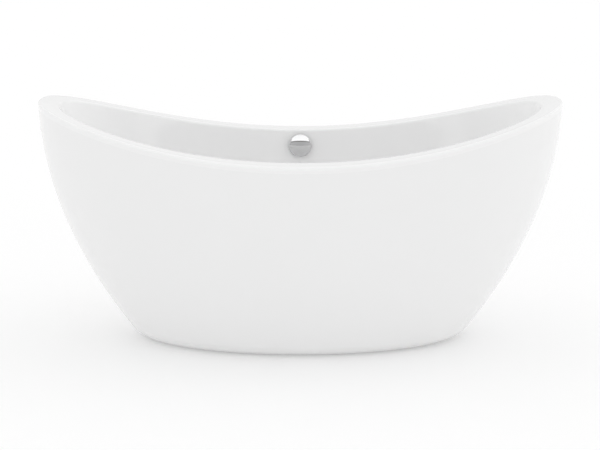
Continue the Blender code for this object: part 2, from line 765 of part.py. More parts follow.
def cap_profile():
    """The overflow cap: a shallow cup with a rounded edge and a crowned face, open behind."""
    steps = 4
    shoulder = CAP_STANDOFF + CAP_DEPTH - CAP_EDGE_RADIUS
    outer = [(CAP_RADIUS, CAP_STANDOFF)]
    for k in range(steps + 1):
        turn = math.pi / 2 * k / steps
        outer.append((
            CAP_RADIUS - CAP_EDGE_RADIUS * (1 - math.cos(turn)),
            shoulder + CAP_EDGE_RADIUS * math.sin(turn),
        ))
    flat = CAP_RADIUS - CAP_EDGE_RADIUS
    for k in range(1, steps + 1):
        share = 1 - k / steps
        outer.append((flat * share, CAP_STANDOFF + CAP_DEPTH + CAP_DOME * (1 - share**2)))
    inner = [(0, outer[-1][1] - CAP_WALL)]
    inner.append((flat * 0.5, CAP_STANDOFF + CAP_DEPTH + CAP_DOME * 0.75 - CAP_WALL))
    inner.append((CAP_RADIUS - CAP_WALL, shoulder))
    inner.append((CAP_RADIUS - CAP_WALL, CAP_STANDOFF))
    return outer, inner


def make_overflow():
    frame = overflow_frame()
    outer, inner = cap_profile()
    cap = turned(inner + outer, 32, frame)
    new_object("overflow_cap", cap, CHROME, frame.translation)

    plate_low = PLATE_STANDOFF
    plate_top = 0.0037
    plate = new_object(
        "overflow_plate", turned(pipe_profile(0.0300, 0.0195, plate_low, plate_top), ROUND, frame), CHROME
    )
    bar = box((-0.0225, -0.005, plate_low + 0.0004), (0.0225, 0.005, plate_top - 0.0004))
    bar.transform(frame)
    tabs = []
    for k in range(3):
        tab = box((0.028, -0.004, plate_low + 0.0007), (0.0332, 0.004, plate_top + 0.004))
        tab.transform(frame @ Matrix.Rotation(math.tau * k / 3 + math.pi / 6, 4, "Z"))
        tabs.append(tab)
    boolean(plate, "UNION", bar, *tabs)
    boolean(plate, "DIFFERENCE", turned(rod_profile(0.0033, -0.01, 0.01), SMALL_ROUND, frame))

    gasket_top = -BASIN_THICKNESS - 2 * GAP
    gasket_low = gasket_top - 0.003
    gasket = pipe_profile(0.034, OVERFLOW_HOLE_RADIUS - 0.002, gasket_low, gasket_top)
    new_object("overflow_gasket", turned(gasket, ROUND, frame), RUBBER, frame.translation)

    flange_top = gasket_low - GAP
    flange_low = flange_top - 0.004
    body_low = flange_low - 0.032
    housing = new_object(
        "overflow_elbow",
        turned([
            (0, body_low), (0.026, body_low), (0.026, flange_low), (0.034, flange_low),
            (0.034, flange_top), (0.0225, flange_top), (0.0225, body_low + 0.003), (0, body_low + 0.003),
        ], ROUND, frame),
        GREY_PLASTIC,
        frame.translation,
    )
    centre = frame @ Vector((0, 0, (body_low + flange_low) / 2))
    outlet = Matrix.Translation(centre) @ Matrix.Rotation(math.pi, 4, "X")
    boolean(housing, "UNION", turned(rod_profile(HOSE_RADIUS, 0.0235, OUTLET_REACH), ROUND, outlet))
    boolean(housing, "DIFFERENCE", turned(rod_profile(HOSE_BORE_RADIUS, 0.0, 0.060), ROUND, outlet))
    post = turned(rod_profile(0.0058, body_low + 0.001, flange_top), SMALL_ROUND, frame)
    boolean(housing, "UNION", post)
    boolean(housing, "DIFFERENCE", turned(rod_profile(0.0030, body_low + 0.008, 0.0), SMALL_ROUND, frame))

    head_low = plate_top + GAP
    screw = [
        (0, flange_top - 0.014),
        (0.0026, flange_top - 0.014),
        (0.0026, head_low),
        (0.0055, head_low),
        (0.0055, head_low + 0.0015),
        (0.0038, head_low + 0.0030),
        (0, head_low + 0.0030),
    ]
    new_object("overflow_screw", turned(screw, SMALL_ROUND, frame), ZINC, frame.translation)
    return centre


def hose_route(start, end):
    """(y, z) points down the hollow between basin and skirt, then under the rear rail to the shoe."""
    straight = HOSE_NUT_LENGTH * 0.8
    return [
        start,
        (start[0], start[1] - straight),
        (start[0], start[1] - 2 * straight),
        (0.317, 0.360),
        (0.300, 0.260),
        (0.268, 0.160),
        (0.240, 0.110),
        (0.190, 0.077),
        (0.130, end[1] + 0.001),
        (end[0] + 2 * straight, end[1]),
        (end[0] + straight, end[1]),
        end,
    ]


def smooth_through(points, parts):
    """Points on a curve through the route's own points, with the same tangent on both sides of each."""
    found = []
    for i in range(len(points) - 1):
        before = points[max(i - 1, 0)]
        here, there = points[i], points[i + 1]
        after = points[min(i + 2, len(points) - 1)]
        for k in range(parts):
            t = k / parts
            spot = []
            for axis in range(2):
                start, end = (there[axis] - before[axis]) / 2, (after[axis] - here[axis]) / 2
                spot.append(
                    (2 * t**3 - 3 * t**2 + 1) * here[axis]
                    + (t**3 - 2 * t**2 + t) * start
                    + (3 * t**2 - 2 * t**3) * there[axis]
                    + (t**3 - t**2) * end
                )
            found.append(spot)
    return found + [points[-1]]


def make_hose(elbow_centre):
    """The overflow hose, with a compression nut at each end."""
    elbow_end = elbow_centre.z - OUTLET_REACH
    start = (elbow_centre.y, elbow_end - GAP)
    end = (PORT_REACH + GAP, PORT_HEIGHT)
    curve = bpy.data.curves.new("overflow_hose", "CURVE")
    curve.dimensions = "3D"
    curve.bevel_depth = HOSE_RADIUS
    curve.bevel_resolution = 3
    curve.use_fill_caps = True
    path = smooth_through(hose_route(start, end), 3)
    spline = curve.splines.new("POLY")
    spline.points.add(len(path) - 1)
    for point, (y, z) in zip(spline.points, path):
        point.co = (0, y, z, 1)
    curve.materials.append(material("overflow_hose_finish", GREY_PLASTIC))
    bpy.context.scene.collection.objects.link(bpy.data.objects.new("overflow_hose", curve))

    half = HOSE_NUT_LENGTH / 2
    ring = pipe_profile(HOSE_NUT_RADIUS, HOSE_RADIUS + 2 * GAP, -half, half)
    upper = Matrix.Translation((0, start[0], start[1]))
    new_object("hose_nut_upper", turned(ring, ROUND, upper), GREY_PLASTIC, upper.translation)
    lower = Matrix.Translation((0, *end)) @ Matrix.Rotation(-math.pi / 2, 4, "X")
    new_object("hose_nut_lower", turned(ring, ROUND, lower), GREY_PLASTIC, lower.translation)


def main():
    for old in list(bpy.data.objects):
        bpy.data.objects.remove(old)
    make_basin()
    make_skirt()
    make_board()
    make_crossbars()
    make_board_screws()
    make_rails()
    make_feet()
    spoke_top, flange_top = make_drain()
    make_plug(spoke_top, flange_top)
    elbow_centre = make_overflow()
    make_hose(elbow_centre)


main()
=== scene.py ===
"""Looks for the freestanding bathtub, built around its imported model. Metres, +Z up.

The basin and the skirt are drawn again as fine smooth shells from the rules that shape the model,
and each fitting gets its threads, chamfers, ribs and rounded edges at its own size.
"""

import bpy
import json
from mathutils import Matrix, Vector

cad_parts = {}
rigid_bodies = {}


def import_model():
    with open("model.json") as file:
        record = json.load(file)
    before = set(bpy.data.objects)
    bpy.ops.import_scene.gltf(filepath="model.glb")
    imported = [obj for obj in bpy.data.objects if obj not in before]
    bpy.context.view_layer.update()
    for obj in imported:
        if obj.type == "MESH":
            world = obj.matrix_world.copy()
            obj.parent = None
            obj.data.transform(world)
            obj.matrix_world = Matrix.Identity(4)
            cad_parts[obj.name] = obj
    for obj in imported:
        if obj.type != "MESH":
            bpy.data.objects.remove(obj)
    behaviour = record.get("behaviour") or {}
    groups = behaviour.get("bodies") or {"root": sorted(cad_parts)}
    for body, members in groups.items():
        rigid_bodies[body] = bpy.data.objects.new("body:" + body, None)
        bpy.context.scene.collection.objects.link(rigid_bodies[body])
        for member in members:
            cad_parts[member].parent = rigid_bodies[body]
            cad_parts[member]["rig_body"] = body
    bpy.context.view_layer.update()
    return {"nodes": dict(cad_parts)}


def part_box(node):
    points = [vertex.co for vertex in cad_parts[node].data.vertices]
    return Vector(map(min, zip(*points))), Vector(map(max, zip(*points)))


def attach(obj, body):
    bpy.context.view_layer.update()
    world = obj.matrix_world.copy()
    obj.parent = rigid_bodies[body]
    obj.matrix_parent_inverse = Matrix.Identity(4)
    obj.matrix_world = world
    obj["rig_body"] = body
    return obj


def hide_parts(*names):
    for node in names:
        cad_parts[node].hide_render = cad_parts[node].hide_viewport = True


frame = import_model()

import functools
import json
import math

import bmesh
import bpy
from mathutils import Matrix, Vector

nodes = frame["nodes"]

# Overall form, as in the model
HALF_LENGTH = 0.750
HALF_WIDTH = 0.375
RIM_MID_HEIGHT = 0.572
RIM_END_RISE = 0.144
RIM_END_WIDTH = 0.060
RIM_SIDE_WIDTH = 0.078
OUTER_EDGE_RADIUS = 0.0125
OUTER_END_EDGE_RADIUS = 0.0065
INNER_EDGE_RADIUS = 0.009
RIM_END_FALL = 0.0065
RIM_FALL_POWER = 8
OUTER_EXPONENT = 2.38
GAP = 0.0003
BASE_HALF_LENGTH = 0.476
BASE_HALF_WIDTH = 0.239
BASE_EXPONENT = 2.0
WALL_LEAN = 0.03
SKIRT_THICKNESS = 0.005
SKIRT_CORNER = 0.034
SKIRT_CLEARANCE = 0.002
FOOT_LIP_REACH = 0.046
SEAM_DROP = 0.018
SEAM_GAP = 0.00004
UPSTAND_HEIGHT = 0.006
SHOULDER_DEPTH = 0.025
BASIN_THICKNESS = 0.005
INNER_HALF_LENGTH = HALF_LENGTH - RIM_END_WIDTH
INNER_HALF_WIDTH = HALF_WIDTH - RIM_SIDE_WIDTH
INNER_EXPONENT = 2.55
FLOOR_HALF_LENGTH = 0.400
FLOOR_HALF_WIDTH = 0.200
FLOOR_HEIGHT = 0.136
FLOOR_FALL = 0.003
WALL_FOOT = FLOOR_HEIGHT + FLOOR_FALL
BACKREST_LEAN = 0.60
FILLET_SHARPNESS = 3.0
RECESS_RADIUS = 0.047
RECESS_DEPTH = 0.004
DRAIN_HOLE_RADIUS = 0.026
OVERFLOW_HEIGHT = 0.5225
OVERFLOW_HOLE_RADIUS = 0.026
AROUND = 224
SAMPLE_DEPTH = 0.02

# Fittings
BOARD_SCREW_COUNT = 8
FOOT_COUNT = 4
STUD_LOW = 0.0054
STUD_RADIUS = 0.006
STUD_PITCH = 0.00175
STUD_DEPTH = 0.0009
COLLAR_FLATS = 0.019
COLLAR_HEIGHT = 0.008
PAD_RADIUS = 0.022
FLANGE_RADIUS = 0.035
FLANGE_TUBE_RADIUS = 0.0235
FLANGE_BORE_RADIUS = 0.0210
SHOE_RADIUS = 0.0270
SHOE_BORE_RADIUS = 0.0240
SHOE_FLANGE_RADIUS = 0.036
TAIL_RADIUS = 0.0190
TAIL_BORE_RADIUS = 0.0170
PORT_HEIGHT = 0.065
PORT_REACH = 0.052
PLUG_RADIUS = 0.031
CAP_RADIUS = 0.0355
CAP_DEPTH = 0.0140
CAP_DOME = 0.0032
CAP_WALL = 0.0015
CAP_STANDOFF = 0.0030
CAP_EDGE_RADIUS = 0.0030
PLATE_STANDOFF = 0.0012
PLATE_TOP = 0.0037
HOSE_RADIUS = 0.0150
HOSE_BORE_RADIUS = 0.0115
HOSE_NUT_RADIUS = 0.0200
HOSE_NUT_LENGTH = 0.018
HOSE_RIB_PITCH = 0.0048
HOSE_RIB_DEPTH = 0.0014
OUTLET_REACH = 0.050
PLY_THICKNESS = 0.0013

# Light of the room's walls and ceiling. On the front wall a dark line lies under the softbox. The places
# of both are slopes over the horizon, where each change of light starts and ends.
CEILING_LIGHT = 1.09
FRONT_LOW_LIGHT = 0.58
LINE_LIGHT = 0.15
SOFTBOX_LIGHT = 1.56
FRONT_HIGH_LIGHT = 0.59
RIGHT_LIGHT = 1.26
LEFT_LIGHT = 1.09
BACK_LIGHT = 0.84
LINE_START = (0.245, 0.265)
SOFTBOX_START = (0.285, 0.300)
SOFTBOX_END = (0.50, 0.56)
LINE_BEND = 0.22

# The studio's floor: its size, the shade that takes the tub's shadow, and its own light.
STUDIO_HALF_SIDE = 40
FLOOR_SHADE = 0.77
FLOOR_GLOW = 0.20

CAMERA_PLACE = (0, -3.9, 1.214)
CAMERA_TILT = 0.2223
CAMERA_LENS = 81.4
CAMERA_SHIFT = -0.0005

# How much light each shell's acrylic returns. The two shells are one white acrylic: the basin's tone is
# raised, a painted light on its rim and inside, and the skirt's tone is lowered, a painted shade on its
# outside.
BASIN_TONE_WITH_PAINTED_LIGHT = 0.875
SKIRT_TONE_WITH_PAINTED_SHADE = 0.852


# --- Mesh helpers

UPRIGHT = Matrix.Identity(4)


def new_object(name, data):
    """An object that is linked to the scene."""
    made = bpy.data.objects.new(name, data)
    bpy.context.scene.collection.objects.link(made)
    return made


def new_mesh(name, shape):
    """A mesh made of a bmesh, which is used up."""
    mesh = bpy.data.meshes.new(name)
    shape.to_mesh(mesh)
    shape.free()
    return mesh


def new_piece(name, shape, materials, replaced, smooth_angle):
    """Links a bmesh as a piece that replaces a node, rides its body and takes the given materials."""
    bmesh.ops.remove_doubles(shape, verts=shape.verts, dist=1e-7)
    bmesh.ops.recalc_face_normals(shape, faces=shape.faces)
    mesh = new_mesh(name, shape)
    mesh.shade_smooth()
    mesh.set_sharp_from_angle(angle=math.radians(smooth_angle))
    for material in materials:
        mesh.materials.append(material)
    piece = new_object(name, mesh)
    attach(piece, nodes[replaced]["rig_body"])
    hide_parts(replaced)
    return piece


def fitting(node, shape, material, smooth_angle=35):
    """A piece that stands for one node of the model."""
    new_piece(f"{node}_fine", shape, [material], node, smooth_angle)


def closed_sweep(loops, backed_from=None):
    """A ring-shaped body: each loop is one closed section, and the last one joins the first.

    Faces from the given point of the section on take the second material.
    """
    shape = bmesh.new()
    rings = [[shape.verts.new(point) for point in loop] for loop in loops]
    for here, there in zip(rings, rings[1:] + rings[:1]):
        for i in range(len(here)):
            j = (i + 1) % len(here)
            face = shape.faces.new((here[i], here[j], there[j], there[i]))
            face.material_index = 1 if backed_from and i >= backed_from else 0
    return shape


def turned(profile, steps=64, place=UPRIGHT):
    """A body of revolution about local Z, from (radius, height) points.

    A radius may be a function of the angle. A profile that starts and ends on the axis is solid.
    """
    shape = bmesh.new()
    angles = [math.tau * k / steps for k in range(steps)]
    rows = []
    for radius, height in profile:
        if callable(radius):
            reach = [radius(a) for a in angles]
        else:
            reach = [radius] * steps
        if max(reach) < 1e-7:
            rows.append([shape.verts.new((0, 0, height))] * steps)
        else:
            spots = [(r * math.cos(a), r * math.sin(a), height) for r, a in zip(reach, angles)]
            rows.append([shape.verts.new(spot) for spot in spots])
    solid = len(set(rows[0])) == 1 and len(set(rows[-1])) == 1
    following = rows[1:] if solid else rows[1:] + rows[:1]
    for lower, upper in zip(rows, following):
        for k in range(steps):
            m = (k + 1) % steps
            corners = dict.fromkeys((lower[k], lower[m], upper[m], upper[k]))
            if len(corners) > 2:
                shape.faces.new(tuple(corners))
    bmesh.ops.transform(shape, matrix=place, verts=shape.verts)
    return shape


def ring_around(shape, centre, side, up, radius, sides):
    """Vertices round a centre, in the plane of two directions."""
    turns = [math.tau * m / sides for m in range(sides)]
    return [shape.verts.new(centre + (side * math.cos(t) + up * math.sin(t)) * radius) for t in turns]


def skin_rings(shape, rings):
    """Joins rings of vertices into a solid bar and closes its two ends."""
    for here, there in zip(rings, rings[1:]):
        for m in range(len(here)):
            n = (m + 1) % len(here)
            shape.faces.new((here[m], here[n], there[n], there[m]))
    shape.faces.new(rings[0])
    shape.faces.new(rings[-1])


def softened(profile, radius, steps=3, closed=True):
    """The profile with its corners rounded; an open one keeps its two ends."""
    points = [Vector(point) for point in profile]
    rounded = []
    for i, point in enumerate(points):
        if not closed and i in (0, len(points) - 1):
            rounded.append(tuple(point))
            continue
        back, ahead = points[i - 1] - point, points[(i + 1) % len(points)] - point
        cut = min(radius, back.length * 0.45, ahead.length * 0.45)
        start, end = point + back.normalized() * cut, point + ahead.normalized() * cut
        for k in range(steps + 1):
            t = k / steps
            rounded.append(tuple(start * (1 - t) ** 2 + point * 2 * t * (1 - t) + end * t**2))
    return rounded


def tube(outer, inner, low, high, rounding, steps=64, place=UPRIGHT):
    """A plain tube or ring with rounded edges."""
    section = [(outer, low), (outer, high), (inner, high), (inner, low)]
    return turned(softened(section, rounding), steps, place)


def thread_rows(radius, low, high, pitch, depth, per_pitch=4):
    """(radius, height) rows of a screw thread, fading out at both ends."""
    count = max(2, round((high - low) / pitch * per_pitch))
    rows = []
    for k in range(count + 1):
        height = low + (high - low) * k / count
        fade = min(1.0, (height - low) / pitch, (high - height) / pitch)
        turns = height / pitch

        def reach(angle, turns=turns, fade=fade):
            wave = abs(((turns - angle / math.tau) % 1) * 2 - 1)
            return radius - depth * (wave * fade + (1 - fade))

        rows.append((reach, height))
    return rows


def hex_reach(flats, limit):
    """The radius of a hexagon at an angle, held to a limit where the nut's corners are chamfered."""

    def reach(angle):
        off_corner = (angle % (math.pi / 3)) - math.pi / 6
        return min(flats / 2 / math.cos(off_corner), limit)

    return reach


def hex_nut(flats, bore, low, high, place, steps=48, chamfer_steps=3):
    """A hexagonal nut with chamfered corners and a countersunk bore."""
    corner = flats / 2 / math.cos(math.pi / 6)
    face = flats / 2 * 0.97
    chamfer = (corner - face) * math.tan(math.radians(30))
    edge = 0.0005
    chamfered = []
    for k in range(chamfer_steps + 1):
        limit = face + (corner - face) * k / chamfer_steps
        chamfered.append((hex_reach(flats, limit), chamfer * k / chamfer_steps))
    rows = [(reach, low + rise) for reach, rise in chamfered]
    rows += [(reach, high - rise) for reach, rise in reversed(chamfered)]
    rows += [(bore + edge, high), (bore, high - edge), (bore, low + edge), (bore + edge, low)]
    return turned(rows, steps, place)


def cross_recess(core, arm):
    """The reach of a screw's cross recess at an angle: at the head's face and at the recess's foot."""

    def face(angle):
        return core + arm * abs(math.cos(2 * angle)) ** 6

    def foot(angle):
        return face(angle) * 0.55

    return face, foot


def ribbed_nut(radius, bore, low, high, place, ribs=14, steps=112):
    """A moulded hand nut with gripping ribs."""
    depth, edge = 0.0011, 0.0009

    def grip(angle):
        return radius - depth * (0.5 - 0.5 * math.cos(ribs * angle)) ** 2

    plain = radius - depth
    run_out = 2.2 * edge
    rows = [(plain - edge, low), (plain, low + edge), (grip, low + run_out), (grip, high - 3.4 * edge)]
    rows += [(plain, high - run_out), (plain, high - edge), (plain - edge, high)]
    rows += [(bore + edge, high), (bore, high - edge), (bore, low + edge), (bore + edge, low)]
    return turned(rows, steps, place)


def upright_at(low, high):
    """Local Z runs up through the middle of a box, from the floor."""
    return Matrix.Translation(((low.x + high.x) / 2, (low.y + high.y) / 2, 0))


def box(low, high, edge=0.0004):
    """A block with rounded edges."""
    shape = bmesh.new()
    size = [high[i] - low[i] for i in range(3)]
    centre = [(high[i] + low[i]) / 2 for i in range(3)]
    bmesh.ops.create_cube(shape, size=1, matrix=Matrix.Translation(centre) @ Matrix.Diagonal((*size, 1)))
    bmesh.ops.bevel(shape, geom=shape.edges[:], offset=edge, segments=2, profile=0.5, affect="EDGES")
    return shape


def two_arms(start, end, half, low, high, axis=0):
    """A pair of blocks that reach out both ways from a hub, along X or Y."""
    arms = []
    for near, far in ((-end, -start), (start, end)):
        corners = (near, -half, low), (far, half, high)
        arms.append(box(*((corner[axis], corner[1 - axis], corner[2]) for corner in corners)))
    return arms


def joined(*shapes):
    """One bmesh with all the given ones."""
    together = bmesh.new()
    for shape in shapes:
        mesh = new_mesh("joining", shape)
        together.from_mesh(mesh)
        bpy.data.meshes.remove(mesh)
    return together


def cut(piece, shape):
    """Cuts the shape out of the piece's mesh for good."""
    bmesh.ops.recalc_face_normals(shape, faces=shape.faces)
    helper = new_object("cutter", new_mesh("cutter", shape))
    modifier = piece.modifiers.new("cut", "BOOLEAN")
    modifier.operation = "DIFFERENCE"
    modifier.solver = "EXACT"
    modifier.object = helper
    evaluated = piece.evaluated_get(bpy.context.evaluated_depsgraph_get())
    result = bpy.data.meshes.new_from_object(evaluated)
    piece.modifiers.clear()
    piece.data = result
    bpy.data.objects.remove(helper)


# --- Tub surfaces


def unit_outline(exponent, angle):
    """A point on a superellipse with half axes of one."""
    c, s = math.cos(angle), math.sin(angle)
    power = 2 / exponent
    return math.copysign(abs(c) ** power, c), math.copysign(abs(s) ** power, s)


def outline(half_length, half_width, exponent, angle):
    """(point, outward normal) in plan on a superellipse."""
    u, v = unit_outline(exponent, angle)
    point = Vector((half_length * u, half_width * v, 0))
    slope_x = math.copysign(abs(u) ** (exponent - 1), u) / half_length
    slope_y = math.copysign(abs(v) ** (exponent - 1), v) / half_width
    return point, Vector((slope_x, slope_y, 0)).normalized()


def rim_height(x):
    """The rim's inner edge over the floor, lowest at the middle of the sides."""
    return RIM_MID_HEIGHT + RIM_END_RISE * (x / HALF_LENGTH) ** 2


def rim_fall(x):
    """How far the rim's top falls from its inner to its outer edge."""
    return RIM_END_FALL * abs(x / HALF_LENGTH) ** RIM_FALL_POWER


def edge_radius(x):
    """The rounding of the rim's outer edge, tighter at the ends."""
    return OUTER_EDGE_RADIUS + (OUTER_END_EDGE_RADIUS - OUTER_EDGE_RADIUS) * (x / HALF_LENGTH) ** 2


def outer_rim_height(angle):
    """The rim's outer edge over the floor, before it is rounded."""
    x = HALF_LENGTH * unit_outline(OUTER_EXPONENT, angle)[0]
    return rim_height(x) - rim_fall(x)


def skirt_point(angle, height, inset=0.0):
    """The tub's outer surface at a height over the floor, moved in by the inset."""
    from_top = 1 - height / outer_rim_height(angle)
    drawn_in = WALL_LEAN * from_top + (1 - WALL_LEAN) * from_top * abs(from_top)
    point, normal = outline(
        HALF_LENGTH + (BASE_HALF_LENGTH - HALF_LENGTH) * drawn_in,
        HALF_WIDTH + (BASE_HALF_WIDTH - HALF_WIDTH) * drawn_in,
        OUTER_EXPONENT + (BASE_EXPONENT - OUTER_EXPONENT) * drawn_in,
        angle,
    )
    point = point - normal * inset
    point.z = height
    return point


def wall_draw(depth):
    """How far the basin's wall has come in, from 0 at the rim to 1 at the floor."""
    rest = (1 - depth**FILLET_SHARPNESS) ** (1 / FILLET_SHARPNESS)
    return BACKREST_LEAN * depth + (1 - BACKREST_LEAN) * (1 - rest)


def inner_rim(angle):
    """(point, outward normal) in plan on the rim's inner edge."""
    return outline(INNER_HALF_LENGTH, INNER_HALF_WIDTH, INNER_EXPONENT, angle)


def basin_point(angle, depth):
    """The basin's wall, from depth 0 at the rim's inner edge to 1 where it meets the floor."""
    drawn_in = wall_draw(depth)
    point, _ = outline(
        INNER_HALF_LENGTH + (FLOOR_HALF_LENGTH - INNER_HALF_LENGTH) * drawn_in,
        INNER_HALF_WIDTH + (FLOOR_HALF_WIDTH - INNER_HALF_WIDTH) * drawn_in,
        INNER_EXPONENT,
        angle,
    )
    top = rim_height(inner_rim(angle)[0].x)
    point.z = top + (WALL_FOOT - top) * depth
    return point


def even_angles(count):
    """Angles whose points on the rim's outline are evenly spaced along it."""
    fine = 8 * count
    angles = []
    for k in range(fine + 1):
        turn = math.tau * k / fine
        c, s = math.cos(turn), math.sin(turn)
        power = OUTER_EXPONENT / 2
        angle = math.atan2(math.copysign(abs(s) ** power, s), math.copysign(abs(c) ** power, c))
        angles.append(angle if k == 0 or angle > angles[-1] - 1e-9 else angle + math.tau)
    points = [outline(HALF_LENGTH, HALF_WIDTH, OUTER_EXPONENT, angle)[0] for angle in angles]
    along = [0.0]
    for here, there in zip(points, points[1:]):
        along.append(along[-1] + (there - here).length)
    found, k = [], 0
    for i in range(count):
        wanted = along[-1] * i / count
        while along[k + 1] < wanted:
            k += 1
        share = (wanted - along[k]) / (along[k + 1] - along[k])
        found.append(angles[k] + (angles[k + 1] - angles[k]) * share)
    return found


def rounded_corner(lean, radius, steps):
    """(setback, drop) pairs that round the corner between the rim and a wall that leans inwards."""
    turn = math.pi / 2 - lean
    tangent = radius * math.tan(turn / 2)
    for k in range(steps + 1):
        angle = turn * k / steps
        yield tangent - radius * math.sin(angle), radius * (1 - math.cos(angle))


def rim_points(angle, outer_steps, inner_steps, across_steps):
    """The visible rim, from the seam with the skirt, over the top, to the top of the basin's wall."""
    corner, outward = outline(HALF_LENGTH, HALF_WIDTH, OUTER_EXPONENT, angle)
    inner_corner, inner_outward = inner_rim(angle)
    top = outer_rim_height(angle)
    low = skirt_point(angle, top - SEAM_DROP)
    outer_lean = math.atan2((corner - low).dot(outward), SEAM_DROP)
    points = [low]
    outer_arc = []
    for setback, drop in rounded_corner(-outer_lean, edge_radius(corner.x), outer_steps):
        point = corner - outward * setback
        point.z = rim_height(point.x) - rim_fall(point.x) - drop
        outer_arc.append(point)
    points += reversed(outer_arc)
    sample = basin_point(angle, SAMPLE_DEPTH)
    fallen = rim_height(inner_corner.x) - sample.z
    inner_lean = math.atan2((inner_corner - sample).dot(inner_outward), fallen)
    inner_arc = []
    for setback, drop in rounded_corner(inner_lean, INNER_EDGE_RADIUS, inner_steps):
        point = inner_corner + inner_outward * setback
        point.z = rim_height(point.x) - drop
        inner_arc.append(point)
    start, end = points[-1], inner_arc[0]
    for k in range(1, across_steps):
        share = k / across_steps
        point = start.lerp(end, share)
        point.z = rim_height(point.x) - rim_fall(point.x) * (1 - share) ** 2
        points.append(point)
    return points + inner_arc


def floor_points(angle, steps):
    """The floor from the wall's foot to the edge of the drain hole."""
    foot = basin_point(angle, 1.0)
    along = Vector((math.cos(angle), math.sin(angle), 0))
    recess_edge = along * RECESS_RADIUS
    gathering = 1.15
    points = []
    for k in range(1, steps + 1):
        share = (1 - k / steps) ** gathering
        point = recess_edge.lerp(foot, share)
        point.z = FLOOR_HEIGHT + FLOOR_FALL * share**2
        points.append(point)
    seat = FLOOR_HEIGHT - RECESS_DEPTH
    shoulder_steps = 6
    for k in range(1, shoulder_steps + 1):
        share = k / shoulder_steps
        sunk = RECESS_DEPTH * share * share * (3 - 2 * share)
        point = along * (RECESS_RADIUS - RECESS_DEPTH * share)
        point.z = FLOOR_HEIGHT - sunk
        points.append(point)
    edge = 0.0006
    points.append(along * (DRAIN_HOLE_RADIUS + edge) + Vector((0, 0, seat)))
    points.append(along * DRAIN_HOLE_RADIUS + Vector((0, 0, seat - edge)))
    return points


def visible_section(angle, outer_steps, inner_steps, across_steps, levels, floor_steps):
    """From the seam over the rim, down the wall and across the floor to the drain."""
    rim = rim_points(angle, outer_steps, inner_steps, across_steps)
    top = rim_height(inner_rim(angle)[0].x)
    started = (top - rim[-1].z) / (top - WALL_FOOT)
    first = math.asin(started ** (FILLET_SHARPNESS / 2))
    wall = []
    for k in range(1, levels + 1):
        turn = first + (math.pi / 2 - first) * k / levels
        wall.append(basin_point(angle, min(1.0, math.sin(turn) ** (2 / FILLET_SHARPNESS))))
    return rim + wall + floor_points(angle, floor_steps)


def offset_grid(grid, distance):
    """Each point of a grid that closes around the tub, moved behind the surface by a distance."""
    moved = []
    count = len(grid)
    for k, row in enumerate(grid):
        before, after = grid[k - 1], grid[(k + 1) % count]
        new_row = []
        for i, point in enumerate(row):
            down = row[min(i + 1, len(row) - 1)] - row[max(i - 1, 0)]
            around = after[i] - before[i]
            new_row.append(point - around.cross(down).normalized() * distance)
        moved.append(new_row)
    return moved


def overflow_frame():
    """Local Z points from the rear wall into the tub, square to the wall at the overflow."""
    angle = math.pi / 2
    top = rim_height(0)
    depth = (top - OVERFLOW_HEIGHT) / (top - WALL_FOOT)
    here, below = basin_point(angle, depth), basin_point(angle, depth + SAMPLE_DEPTH)
    down = (below - here).normalized()
    across = Vector((1, 0, 0))
    into_tub = across.cross(down).normalized()
    if into_tub.y > 0:
        into_tub = -into_tub
    up = into_tub.cross(across).normalized()
    turn = Matrix((across, -up, into_tub)).transposed().to_4x4()
    return Matrix.Translation(here) @ turn


def make_basin(finish):
    """The basin with its rim, fine on the seen side and coarser behind, and the overflow's hole."""
    fine = {"outer_steps": 12, "inner_steps": 8, "across_steps": 8, "levels": 56, "floor_steps": 16}
    coarse = {"outer_steps": 4, "inner_steps": 3, "across_steps": 2, "levels": 18, "floor_steps": 5}
    angles = even_angles(AROUND)
    front = [visible_section(angle, **fine) for angle in angles]
    back = offset_grid([visible_section(angle, **coarse) for angle in angles], BASIN_THICKNESS)
    shape = closed_sweep([seen + hidden[::-1] for seen, hidden in zip(front, back)], len(front[0]))
    # The basin's acrylic is toned lighter, a painted light.
    looks = [finish["basin_acrylic_painted_light"], finish["glass_fibre"]]
    basin = new_piece("basin_shell", shape, looks, "inner_basin", 40)
    reach = 0.02
    hole = [(0, -reach), (OVERFLOW_HOLE_RADIUS, -reach), (OVERFLOW_HOLE_RADIUS, reach), (0, reach)]
    cut(basin, turned(hole, 64, overflow_frame()))


